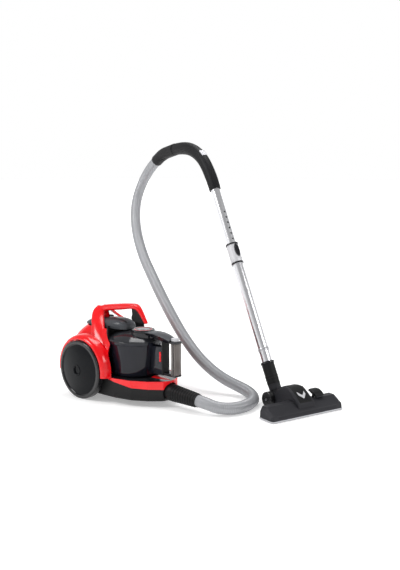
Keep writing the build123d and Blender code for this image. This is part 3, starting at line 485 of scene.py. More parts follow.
# --- mesh making ----------------------------------------------------------------------------
class Maker:
    """Makes meshes in millimetres and puts them on the frame."""

    @staticmethod
    def piece(
        name: str,
        points: Sequence[Point],
        faces: Sequence[Sequence[int]],
        finish: Finishes,
        body: str,
        angle: float = 38.0,
        bevel: float = 0.0,
        stands_for: Sequence[str] = (),
    ) -> bpy.types.Object:
        """Make one piece from its points and faces.

        Args:
            name: The piece's name.
            points: Its points, in millimetres.
            faces: Its faces, as lists of point numbers.
            finish: Its finish.
            body: The body it rides on.
            angle: The angle, in degrees, above which an edge stays sharp.
            bevel: The radius of its rounded edges, in millimetres.
            stands_for: The nodes that it replaces.

        Returns:
            The new object.
        """
        shape = bmesh.new()
        made = [shape.verts.new(Vector(point) * MM) for point in points]
        for face in faces:
            shape.faces.new([made[index] for index in face])
        bmesh.ops.recalc_face_normals(shape, faces=shape.faces)
        mesh = bpy.data.meshes.new(name)
        shape.to_mesh(mesh)
        shape.free()
        mesh.shade_smooth()
        mesh.set_sharp_from_angle(angle=math.radians(angle))
        thing = bpy.data.objects.new(name, mesh)
        bpy.context.scene.collection.objects.link(thing)
        mesh.materials.append(finish.value.build())
        if bevel:
            edge = thing.modifiers.new("rounded_edges", "BEVEL")
            edge.width = bevel * MM
            edge.segments = 3
            edge.limit_method = "ANGLE"
            edge.angle_limit = math.radians(28)
        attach(thing, body)
        if stands_for:
            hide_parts(*stands_for)
        LOG.info("%s: %d points on %s", name, len(points), body)
        return thing

    @staticmethod
    def grid_faces(rows: int, columns: int, caps: bool = True) -> list[list[int]]:
        """Join closed rings of points by quads.

        Args:
            rows: How many rings there are.
            columns: How many points each one has.
            caps: Whether the first and last rings are filled.

        Returns:
            The faces.
        """
        faces = []
        for row in range(rows - 1):
            low, high = row * columns, (row + 1) * columns
            for column in range(columns):
                nxt = (column + 1) % columns
                faces.append([low + column, low + nxt, high + nxt, high + column])
        if caps:
            faces.append(list(range(columns))[::-1])
            faces.append([(rows - 1) * columns + column for column in range(columns)])
        return faces

    @classmethod
    def loft(cls, name: str, rings: Sequence[Sequence[Point]], finish: Finishes, body: str, **extra: Any) -> Any:
        """Skin a row of closed rings.

        Args:
            name: The piece's name.
            rings: The rings, each with the same number of points.
            finish: The piece's finish.
            body: The body it rides on.
            **extra: More of what piece() takes.

        Returns:
            The new object.
        """
        points = [point for ring in rings for point in ring]
        return cls.piece(name, points, cls.grid_faces(len(rings), len(rings[0])), finish, body, **extra)

    @classmethod
    def block(
        cls,
        name: str,
        outline: Sequence[tuple[float, float]],
        heights: tuple[float, float],
        finish: Finishes,
        body: str,
        **extra: Any,
    ) -> Any:
        """Raise an upright block from an outline.

        Args:
            name: The piece's name.
            outline: The outline's x and y.
            heights: Its foot and its top.
            finish: The piece's finish.
            body: The body it rides on.
            **extra: More of what piece() takes.

        Returns:
            The new object.
        """
        return cls.loft(name, [[(x, y, z) for x, y in outline] for z in heights], finish, body, **extra)

    @classmethod
    def turned(
        cls,
        name: str,
        profile: Sequence[tuple[float, float]],
        centre: Vector,
        axis: Vector,
        finish: Finishes,
        body: str,
        steps: int = 96,
        **extra: Any,
    ) -> Any:
        """Turn a closed profile about an axis.

        Args:
            name: The piece's name.
            profile: Pairs of distance along the axis and radius.
            centre: Where the axis starts.
            axis: Its direction.
            finish: The piece's finish.
            body: The body it rides on.
            steps: How many sides the piece has.
            **extra: More of what piece() takes.

        Returns:
            The new object.
        """
        along = axis.normalized()
        side = along.orthogonal().normalized()
        other = along.cross(side)
        rings = []
        for step in range(steps):
            angle = math.tau * step / steps
            out = side * math.cos(angle) + other * math.sin(angle)
            rings.append([centre + along * distance + out * radius for distance, radius in profile])
        count = len(profile)
        faces = []
        for step in range(steps):
            low, high = step * count, ((step + 1) % steps) * count
            for index in range(count):
                nxt = (index + 1) % count
                faces.append([low + index, low + nxt, high + nxt, high + index])
        points = [point for ring in rings for point in ring]
        return cls.piece(name, points, faces, finish, body, **extra)

    @classmethod
    def swept(
        cls,
        name: str,
        path: Sequence[Vector],
        ring: Callable[[int, Vector, Vector], Sequence[Vector]],
        finish: Finishes,
        body: str,
        up: Vector = UP,
        **extra: Any,
    ) -> Any:
        """Sweep a changing ring along a path.

        Args:
            name: The piece's name.
            path: The points of the path.
            ring: Gives the ring's offsets from the path, from the point's number and two cross axes.
            finish: The piece's finish.
            body: The body it rides on.
            up: Where the first cross axis starts from.
            **extra: More of what piece() takes.

        Returns:
            The new object.
        """
        rings = []
        first = up
        for index, point in enumerate(path):
            before, after = path[max(index - 1, 0)], path[min(index + 1, len(path) - 1)]
            along = (after - before).normalized()
            first = (first - along * first.dot(along)).normalized()
            second = along.cross(first)
            rings.append([point + offset for offset in ring(index, first, second)])
        return cls.loft(name, rings, finish, body, **extra)

    @staticmethod
    def dress(finish: Finishes, *nodes: str) -> None:
        """Give a finish to nodes of the frame.

        Args:
            finish: The finish.
            *nodes: The nodes' names.
        """
        for node in nodes:
            thing = frame["nodes"][node]
            thing.data.materials.clear()
            thing.data.materials.append(finish.value.build())
            LOG.info("%s wears %s", node, finish.value.name)


def laid_line(route: Sequence[Point]) -> list[Vector]:
    """Read the smooth line that a spline makes of a route.

    Args:
        route: The route's points, in metres, which the spline takes as its control points.

    Returns:
        The line's points, in metres.
    """
    curve = bpy.data.curves.new("route", "CURVE")
    curve.dimensions = "3D"
    spline = curve.splines.new("NURBS")
    spline.points.add(len(route) - 1)
    for point, place in zip(spline.points, route):
        point.co = (*place, 1.0)
    spline.order_u = 3
    spline.use_endpoint_u = True
    spline.resolution_u = 24
    holder = bpy.data.objects.new("route", curve)
    bpy.context.scene.collection.objects.link(holder)
    graph = bpy.context.evaluated_depsgraph_get()
    mesh = bpy.data.meshes.new_from_object(holder.evaluated_get(graph))
    line = [vertex.co.copy() for vertex in mesh.vertices]
    bpy.data.objects.remove(holder)
    bpy.data.curves.remove(curve)
    bpy.data.meshes.remove(mesh)
    return line


def even(line: Sequence[Vector], step: float) -> list[Vector]:
    """Space a line's points evenly.

    Args:
        line: The line's points.
        step: The wanted distance between points, in the line's units.

    Returns:
        Points that are about that far apart.
    """
    lengths = [0.0]
    for before, after in zip(line, line[1:]):
        lengths.append(lengths[-1] + (after - before).length)
    count = max(2, round(lengths[-1] / step))
    spaced, index = [], 0
    for number in range(count + 1):
        wanted = lengths[-1] * number / count
        while index < len(line) - 2 and lengths[index + 1] < wanted:
            index += 1
        share = (wanted - lengths[index]) / max(lengths[index + 1] - lengths[index], 1e-9)
        spaced.append(line[index].lerp(line[index + 1], share))
    return spaced


def blend_table(table: Sequence[tuple[float, ...]], place: float) -> list[float]:
    """Read a table of sizes between its rows, along smooth curves.

    Args:
        table: Rows whose first number is the place that they hold at.
        place: The place that is wanted.

    Returns:
        The sizes there.
    """
    last = len(table) - 1
    row = max(0, min(last - 1, sum(1 for line in table[1:] if line[0] < place)))
    start, end = table[row], table[row + 1]
    before, after = table[max(row - 1, 0)], table[min(row + 2, last)]
    span = end[0] - start[0]
    share = max(0.0, min(1.0, (place - start[0]) / span))
    sizes = []
    for column in range(1, len(start)):
        lead = (end[column] - before[column]) / (end[0] - before[0]) * span
        tail = (after[column] - start[column]) / (after[0] - start[0]) * span
        square, cube = share * share, share**3
        sizes.append(
            (2 * cube - 3 * square + 1) * start[column]
            + (cube - 2 * square + share) * lead
            + (3 * square - 2 * cube) * end[column]
            + (cube - square) * tail
        )
    return sizes


def corner_reach(turn: float, power: float) -> tuple[float, float]:
    """Give a point of a rounded square that reaches from -1 to 1.

    Args:
        turn: The point's angle.
        power: How square the outline is; 2 is a circle.

    Returns:
        The point.
    """
    c, q = math.cos(turn), math.sin(turn)
    reach = (abs(c) ** power + abs(q) ** power) ** (-1 / power)
    return reach * c, reach * q


def box_centre(node: str) -> Vector:
    """Give the middle of a node's box, in millimetres."""
    low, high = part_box(node)
    return millimetres((low + high) / 2)


def rounded_ring(width: float, height: float, power: float = 3.2, count: int = 32) -> list[tuple[float, float]]:
    """Give a rounded rectangle's outline.

    Args:
        width: Half its width.
        height: Half its height.
        power: How square it is; 2 is an ellipse.
        count: How many points it has.

    Returns:
        The outline's points.
    """
    corners = [corner_reach(math.tau * (index + 0.5) / count, power) for index in range(count)]
    return [(width * x, height * y) for x, y in corners]


class NozzleFrame:
    """The floor nozzle's own axes: x forwards, y along its width and z up."""

    def __init__(self) -> None:
        """Take the axes from the nozzle's tilt joint and the wand's slide."""
        tilt = joint("nozzle_tilt")
        self.pivot = millimetres(tilt["pos_m"])
        self.across = Vector(tilt["axis"]).normalized()
        self.forward = self.across.cross(UP)
        self.wand = Vector(joint("wand_telescope")["axis"]).normalized()
        self.wand_front = self.across.cross(self.wand)
        self.reach = 150.5  # how far the pivot stands behind the nozzle's front edge

    def at(self, x: float, y: float, z: float) -> Vector:
        """Give the frame's point for a point of the nozzle, all in millimetres."""
        ground = Vector((self.pivot.x, self.pivot.y, 0))
        return ground + self.forward * (x + self.reach) + self.across * y + UP * z

    def along(self, distance: float, front: float = 0.0) -> Vector:
        """Give the point at a distance up the wand from the pivot, and towards its front side."""
        return self.pivot + self.wand * distance + self.wand_front * front


# --- canister -------------------------------------------------------------------------------
@dataclass
class Canister:
    """The red and black machine between its wheels."""

    body: str = "canister"
    axle: tuple[float, float] = (-100.0, 96.0)
    cover_foot: float = 226.0
    cover_power: float = 2.6
    slot_share: float = 0.42
    web_half: float = 7.0
    arch_start: float = -7.0
    arch_turn: float = 194.0
    pillar_steps: int = 56
    arch_steps: int = 72
    pillar: tuple[tuple[float, ...], ...] = (
        (80, 18, 107, -74, 108.5, 8),
        (108, 12, 106, -76, 109.5, 8),
        (136, 4, 103, -78, 109, 9),
        (162, -7, 98.5, -80, 106, 9),
        (188, -24, 89, -84, 100, 10),
        (208, -43, 77, -92, 91, 12),
        (228, -62, 62, -104, 79, 13),
        (246, -80, 48, -120, 66, 14),
        (262, -97, 33, -136, 50, 14),
        (278, -106, 20, -145, 33, 13),
        (290, -106, 9, -142, 18, 10),
    )
    handle_line: tuple[tuple[float, ...], ...] = (
        (-142, 238, 18, 27),
        (-141, 258, 17, 26),
        (-133, 275, 14, 23),
        (-108, 285, 11.5, 19.5),
        (-66, 291.5, 10.5, 18.5),
        (-22, 298, 10, 18),
        (8, 302, 8.5, 16.5),
        (26, 302.5, 7.5, 13.5),
        (38, 298, 6.2, 10.5),
        (47, 290, 5.4, 8.8),
        (57, 277, 4.8, 7.8),
        (66, 264.5, 4.2, 7.2),
        (75, 252, 3.2, 6.2),
    )
    insert: tuple[tuple[float, float], ...] = (
        (13, 296),
        (34, 297),
        (50, 285),
        (68, 259),
        (73, 250.5),
        (34, 250.5),
        (17, 254),
        (11, 262),
        (12, 268),
        (15, 276),
    )
    cover: tuple[tuple[float, ...], ...] = (
        (-192, 24, 233),
        (-180, 34, 239),
        (-160, 40, 245),
        (-130, 42, 249),
        (-95, 42, 254),
        (-60, 41, 257),
        (-30, 38, 256.5),
        (-8, 31, 250),
        (4, 22, 240),
    )
    fender: tuple[tuple[float, float], ...] = (
        (134.0, 99.6),
        (134.6, 102.0),
        (133.0, 106.0),
        (128.0, 110.4),
        (120.0, 113.0),
        (110.0, 114.2),
        (100.0, 114.6),
        (100.0, 108.0),
        (112.0, 106.0),
        (124.0, 102.0),
    )

    def pillars(self) -> None:
        """Make the two red pillars that sweep up from the sides to the handle."""
        foot, top = self.pillar[0][0], self.pillar[-1][0]
        for name, side in SIDES:
            rings = []
            for step in range(self.pillar_steps + 1):
                height = foot + (top - foot) * step / self.pillar_steps
                front_x, front_y, rear_x, rear_y, thick = blend_table(self.pillar, height)
                front, rear = Vector((front_x, front_y, height)), Vector((rear_x, rear_y, height))
                run = (rear - front).normalized()
                inward = Vector((run.y, -run.x, 0))
                inward = inward if inward.y < 0 else -inward
                middle = (front + rear) / 2 + inward * thick / 2
                half = (rear - front).length / 2
                ring = []
                for along, across in rounded_ring(half, thick / 2, 5.0, 40):
                    bow = 3.5 * (1 - (along / half) ** 2)
                    point = middle + run * along + inward * (across - bow)
                    ring.append((point.x, side * point.y, point.z))
                rings.append(ring)
            stands_for = ["side_pillars"] if side > 0 else []
            Maker.loft(f"pillar_{name}", rings, Finishes.RED, self.body, angle=60, stands_for=stands_for)

    def carry_handle(self) -> None:
        """Make the carry handle over the dust cup."""
        route = [(row[0] * MM, 0.0, row[1] * MM) for row in self.handle_line]
        path = [millimetres(point) for point in even(laid_line(route), 3 * MM)]
        lengths = [0.0]
        for before, after in zip(self.handle_line, self.handle_line[1:]):
            lengths.append(lengths[-1] + math.dist(before[:2], after[:2]))
        table = [(length / lengths[-1], *row[2:]) for length, row in zip(lengths, self.handle_line)]
        last = len(path) - 1

        def ring(index: int, first: Vector, second: Vector) -> list[Vector]:
            """Give the handle's section at one of its points."""
            thick, wide = blend_table(table, index / last)
            return [first * high + second * across for across, high in rounded_ring(wide, thick, 3.6, 32)]

        up = Vector((-1, 0, 0.2))
        Maker.swept(
            "carry_handle_bow", path, ring, Finishes.RED, self.body, up=up, angle=60, stands_for=["carry_handle"]
        )

    def fenders(self) -> None:
        """Make the bulging red arches round the wheels."""
        centre = Vector((self.axle[0], 0, self.axle[1]))
        for name, side in SIDES:
            rings = []
            for step in range(self.arch_steps + 1):
                turn = math.radians(self.arch_start + self.arch_turn * step / self.arch_steps)
                out = Vector((math.cos(turn), 0, math.sin(turn)))
                rings.append([centre + out * radius + Vector((0, side * y, 0)) for y, radius in self.fender])
            stands_for = ["wheel_arches"] if side > 0 else []
            Maker.loft(f"fender_{name}", rings, Finishes.RED, self.body, angle=50, stands_for=stands_for)

    def leg_insert(self) -> None:
        """Make the black web inside the handle's front leg."""
        rings = [[(x, y, z) for x, z in self.insert] for y in (-self.web_half, self.web_half)]
        Maker.loft("handle_web", rings, Finishes.BASE, self.body, bevel=1.6, stands_for=["handle_insert"])

    def rear_dome(self) -> None:
        """Make the grey dome over the motor, with the slot along it."""
        first, last, base = self.cover[0][0], self.cover[-1][0], self.cover_foot
        steps, sides = 48, 32
        outline = [corner_reach(math.pi * index / sides, self.cover_power) for index in range(sides + 1)]
        rings = []
        for step in range(steps + 1):
            x = first + (last - first) * step / steps
            wide, top = blend_table(self.cover, x)
            rings.append([(x, -wide * across, base + (top - base) * high) for across, high in outline])
        Maker.loft("cover_dome", rings, Finishes.GREY, self.body, angle=60, stands_for=["rear_cover"])
        slot_start, slot_end, slot_steps = first + 26, last - 8, 40
        slot_height = (1 - self.slot_share**self.cover_power) ** (1 / self.cover_power)
        rings = []
        for step in range(slot_steps + 1):
            x = slot_start + (slot_end - slot_start) * step / slot_steps
            wide, top = blend_table(self.cover, x)
            y, z = -wide * self.slot_share, base + (top - base) * slot_height
            rings.append([(x, y - 1.6, z - 2.6), (x, y - 1.6, z + 0.1), (x, y + 1.6, z + 0.7), (x, y + 1.6, z - 2)])
        Maker.loft("cover_slot", rings, Finishes.BASE, self.body, angle=60)

    def button_rings(self) -> None:
        """Make the rings on the two foot buttons."""
        profile = [(0.0, 4.6), (0.5, 4.6), (0.5, 3.6), (0.0, 3.6)]
        for name, node, rider in (("left", "power_button", "power_key"), ("right", "rewind_button", "rewind_key")):
            centre = box_centre(node)
            centre.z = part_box(node)[1].z / MM - 0.2
            Maker.turned(f"button_ring_{name}", profile, centre, UP, Finishes.BASE, rider, steps=40)

    def build(self) -> None:
        """Make and dress the canister."""
        Maker.dress(Finishes.BASE, "base_pan", "bay_liner", "exhaust_door", "caster_fork")
        Maker.dress(Finishes.RED, "front_band", "main_housing")
        Maker.dress(Finishes.GREY, "power_button", "rewind_button")
        Maker.dress(Finishes.PIANO, "inlet_port", "cord_outlet", "cup_cradle")
        Maker.dress(Finishes.CHARCOAL, "caster_wheels", "cord_reel")
        Maker.dress(Finishes.STEEL, "motor_can", "motor_rotor", "reel_axle", "wheel_axles")
        Maker.dress(Finishes.TYRE, "motor_mounts")
        Maker.dress(Finishes.BOARD, "control_board")
        Maker.dress(Finishes.FOAM, "exhaust_filter")
        self.pillars()
        self.carry_handle()
        self.fenders()
        self.leg_insert()
        self.rear_dome()
        self.button_rings()


@dataclass
class Wheels:
    """The two large rear wheels."""

    rim_depth: float = 10.5
    hub_depth: float = 1.0
    hub: tuple[tuple[float, float], ...] = ((-1.0, 16.5), (1.6, 16.5), (2.2, 15.6), (1.0, 13.4), (-1.0, 13.4))
    lip: tuple[tuple[float, float], ...] = ((0.0, 85.4), (1.6, 85.0), (2.0, 83.4), (0.6, 81.4), (0.0, 81.0))

    def build(self) -> None:
        """Make and dress both wheels."""
        for name, side in SIDES:
            Maker.dress(Finishes.TYRE, f"tyre_{name}")
            Maker.dress(Finishes.DISC, f"wheel_disc_{name}")
            low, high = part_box(f"wheel_disc_{name}")
            centre = box_centre(f"wheel_disc_{name}")
            face = (high.y if side > 0 else -low.y) / MM
            out = Vector((0, side, 0))
            rim = Vector((centre.x, side * (face - self.rim_depth), centre.z))
            boss = Vector((centre.x, side * (face - self.hub_depth), centre.z))
            Maker.turned(f"hub_ring_{name}", self.hub, boss, out, Finishes.DISC, f"wheel_{name}", steps=64)
            Maker.turned(f"rim_lip_{name}", self.lip, rim, out, Finishes.PIANO, f"wheel_{name}", steps=128)


@dataclass
class DustBin:
    """The clear dust cup with its lid, arm and grip."""

    body: str = "dust_bin"
    cup_x: float = 24.0
    dial_x: float = 60.0
    fins: int = 12
    fin_root: float = 44.2

    def lid(self) -> None:
        """Make the smoky lid: a low dome with a rim and a step for the dial."""
        centre, pivot = Vector((self.cup_x, 0, 0)), Vector((self.dial_x, 0, 0))
        dome = [
            (192.0, 87.0),
            (196.2, 90.4),
            (199.0, 90.6),
            (200.6, 89.0),
            (204.0, 84.0),
            (209.5, 74.0),
            (214.6, 62.0),
            (218.8, 48.0),
            (221.8, 32.0),
            (223.4, 16.0),
            (223.8, 0.6),
            (192.0, 0.6),
        ]
        more: dict[str, Any] = {"steps": 128, "angle": 50, "stands_for": ["cup_lid"]}
        Maker.turned("lid_dome", dome, centre, UP, Finishes.LID, self.body, **more)
        step = [(206.0, 40.6), (226.0, 40.2), (227.0, 39.2), (227.0, 0.6), (206.0, 0.6)]
        Maker.turned("dial_seat", step, pivot, UP, Finishes.PIANO, self.body, steps=128)
        puck = [(227.4, 37.6), (230.6, 38.0), (232.6, 37.0), (233.2, 34.6), (232.2, 29.0), (232.0, 0.6), (227.4, 0.6)]
        Maker.turned("dial_puck", puck, pivot, UP, Finishes.PIANO, "dial", steps=128, stands_for=["lid_dial"])
        ring = [(231.8, 28.4), (232.9, 28.2), (232.9, 26.8), (231.8, 26.6)]
        Maker.turned("dial_ring", ring, pivot, UP, Finishes.RED, "dial")
        plate = [(231.8, 20.0), (233.0, 19.6), (233.5, 17.0), (233.6, 0.6), (231.8, 0.6)]
        Maker.turned("dial_plate", plate, pivot, UP, Finishes.STEEL, "dial")

    def arm(self) -> None:
        """Make the arm from the dial to the grip, with a grey top plate whose lighter colour is painted reflection on
        the arm's top.
        """
        stations = (
            (90, 229.5, 26, 10),
            (112, 230.5, 26, 13),
            (135, 230.0, 25, 16),
            (158, 226.5, 23.5, 18),
            (178, 220.5, 21.5, 15),
            (192, 215.0, 20, 10),
        )
        body, top = [], []
        for x, z, half, deep in stations:
            low = z - deep
            trough = ((-half, z - 2.5), (-half + 5, low), (half - 5, low), (half, z - 2.5), (0, z - 0.8))
            body.append([(x, *point) for point in trough])
            edge = half - 1.6
            crown = ((-edge, -3), (-edge, -1.2), (-edge / 2, 0.6), (0, 1.2), (edge / 2, 0.6), (edge, -1.2), (edge, -3))
            top.append([(x, y, z + rise) for y, rise in crown])
        Maker.loft("arm_body", body, Finishes.PIANO, self.body, bevel=1.2, stands_for=["cup_arm"])
        # The top plate gives the arm's top its real shape; its grey over the black arm is painted reflection of the
        # room on that face.
        Maker.loft("arm_top_painted_reflection", top, Finishes.GREY, self.body, bevel=0.7, angle=50)
        shoulder = []
        for x, high in ((186, 216), (193, 214.5)):
            shoulder.append([(x, y, z) for y, z in ((-16, 207), (-16, high), (16, high), (16, 207))])
        Maker.loft("arm_shoulder", shoulder, Finishes.PIANO, self.body, bevel=1.5)
        cap = [(x + 205, y) for x, y in rounded_ring(13.5, 17.0, 6.0)]
        Maker.block("grip_cap", cap, (204.5, 211.5), Finishes.PIANO, self.body, bevel=1.0)

    def grip(self) -> None:
        """Make the clear grip's two columns, the dark foot that joins them, and a red block on the spine that is
        painted red refraction at the cup's edge.
        """
        for name, low, high in (("front", 207.5, 217.0), ("rear", 196.5, 205.0)):
            middle, half = (low + high) / 2, (high - low) / 2
            rings = [
                [(middle + x, y, z) for x, y in rounded_ring(half - inset, 15.0 - inset, 5.0, 36)]
                for z, inset in ((103, 1.0), (105, 0.0), (150, 0.5), (204, 0.0), (206, 0.6))
            ]
            stands_for = ["cup_grip"] if name == "front" else []
            Maker.loft(f"grip_column_{name}", rings, Finishes.AMBER, self.body, angle=60, stands_for=stands_for)
        rib = ((205.0, -13.6), (207.5, -13.6), (207.5, 13.6), (205.0, 13.6))
        Maker.block("grip_rib", rib, (104, 206), Finishes.PIANO, self.body, bevel=0.5)
        foot = ((150, -13), (217, -14.6), (217, 14.6), (150, 13))
        Maker.block("grip_foot", foot, (98.5, 107.0), Finishes.PIANO, self.body, bevel=2.5)
        # Red block on the spine: painted refraction of red seen through the cup's edge, not a printed mark.
        mark = ((146, -14.5), (153, -14.5), (153, 14.5), (146, 14.5))
        Maker.block("spine_painted_red_refraction", mark, (140, 172), Finishes.RED, self.body, bevel=1.0)

    def cup_fins(self) -> None:
        """Make the faint upright fins inside the cup."""
        low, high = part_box("cyclone_shroud")
        centre = box_centre("cyclone_shroud")
        foot, top = low.z / MM + 2, high.z / MM - 4
        points, faces = [], []
        for index in range(self.fins):
            turn = math.tau * (index + 0.5) / self.fins
            out = Vector((math.cos(turn), math.sin(turn), 0))
            side = Vector((-out.y, out.x, 0))
            start = len(points)
            for height, reach in ((foot, 56.0), (top, 62.0)):
                for near, width in ((self.fin_root, -1.2), (self.fin_root, 1.2), (reach, 0.8), (reach, -0.8)):
                    points.append(Vector((centre.x, centre.y, height)) + out * near + side * width)
            faces += [[start + corner for corner in face] for face in Maker.grid_faces(2, 4)]
        Maker.piece("cup_fins", points, faces, Finishes.GREY, self.body, bevel=0.3)

    def build(self) -> None:
        """Make and dress the dust cup."""
        Maker.dress(Finishes.SMOKE, "dust_cup")
        Maker.dress(Finishes.PIANO, "cup_flap")
        Maker.dress(Finishes.BASE, "cup_spine")
        Maker.dress(Finishes.CHARCOAL, "cyclone_shroud", "cyclone_cone")
        Maker.dress(Finishes.SILVER, "release_button")
        Maker.dress(Finishes.FOAM, "cup_filter")
        Maker.dress(Finishes.TYRE, "lid_seal")
        self.lid()
        self.arm()
        self.grip()
        self.cup_fins()


# --- hose, handle and wand ------------------------------------------------------------------
@dataclass
class Hose:
    """The corrugated hose between the canister and the handle."""

    body: str = "canister"
    radius: float = 19.0
    rib_depth: float = 1.1
    rib_pitch: float = 5.2
    sides: int = 28
    cuff_rib_number: int = 10
    cuff_root: tuple[float, float] = (196.0, 44.9)
    route: tuple[tuple[float, float, float], ...] = (
        (0.3010, 0.0000, 0.0390),
        (0.3320, 0.0000, 0.0372),
        (0.3660, 0.0160, 0.0250),
        (0.3940, 0.0570, 0.0195),
        (0.4020, 0.1120, 0.0195),
        (0.3830, 0.1710, 0.0200),
        (0.3410, 0.2160, 0.0210),
        (0.2900, 0.2340, 0.0280),
        (0.2320, 0.2240, 0.0440),
        (0.1820, 0.2110, 0.0700),
        (0.1330, 0.2030, 0.1030),
        (0.0860, 0.2040, 0.1390),
        (0.0380, 0.2080, 0.1810),
        (-0.0140, 0.2190, 0.2270),
        (-0.0710, 0.2370, 0.2730),
        (-0.1280, 0.2580, 0.3190),
        (-0.1900, 0.2860, 0.3640),
        (-0.2530, 0.3140, 0.4110),
        (-0.3120, 0.3460, 0.4610),
        (-0.3600, 0.3750, 0.5140),
        (-0.3930, 0.4010, 0.5700),
        (-0.4080, 0.4240, 0.6280),
        (-0.3960, 0.4420, 0.6900),
        (-0.3490, 0.4436, 0.7526),
        (-0.2991, 0.4302, 0.7790),
    )

    def build(self) -> None:
        heights = (0.0, -0.55, -1.0, -0.55)
        line = even(laid_line(self.route), self.rib_pitch * MM / len(heights))

        def ring(index: int, first: Vector, second: Vector) -> list[Vector]:
            """Give one ring of the corrugated wall.

            Args:
                index: The number of the point on the hose's line.
                first: The section's first axis.
                second: Its second axis.

            Returns:
                The ring's points, from the line.
            """
            radius = self.radius + self.rib_depth * heights[index % len(heights)]
            turns = [math.tau * side / self.sides for side in range(self.sides)]
            return [(first * math.cos(turn) + second * math.sin(turn)) * radius for turn in turns]

        path = [millimetres(point) for point in line]
        tube = Maker.swept("hose_ribbed", path, ring, Finishes.HOSE, self.body, angle=80, stands_for=["hose"])
        length = sum((after - before).length for before, after in zip(line, line[1:]))
        LOG.info("hose length %.3f m", length)
        Maker.dress(Finishes.BASE, "hose_cuff", "hose_end_cuff")
        self.cuff_ribs()

    def cuff_ribs(self) -> None:
        """Make the soft ribs round the cuff at the canister."""
        start, end = Vector((self.cuff_root[0], 0, self.cuff_root[1])), millimetres(self.route[0])
        axis = (end - start).normalized()
        length = (end - start).length
        rib = [(-2.2, 0.0), (-1.6, 1.0), (0.0, 1.5), (1.6, 1.0), (2.2, 0.0)]
        taper = ((-20.0, 27.5), (length - 93.0, 25.0), (length, 20.5))
        for index in range(self.cuff_rib_number):
            along = length * (0.06 + 0.094 * index)
            (base,) = blend_table(taper, along)
            profile = [(x, base + 0.4 + h) for x, h in rib] + [(2.2, base - 2.5), (-2.2, base - 2.5)]
            centre = start + axis * along
            Maker.turned(f"cuff_rib_{index}", profile, centre, axis, Finishes.BASE, self.body, steps=56, angle=60)


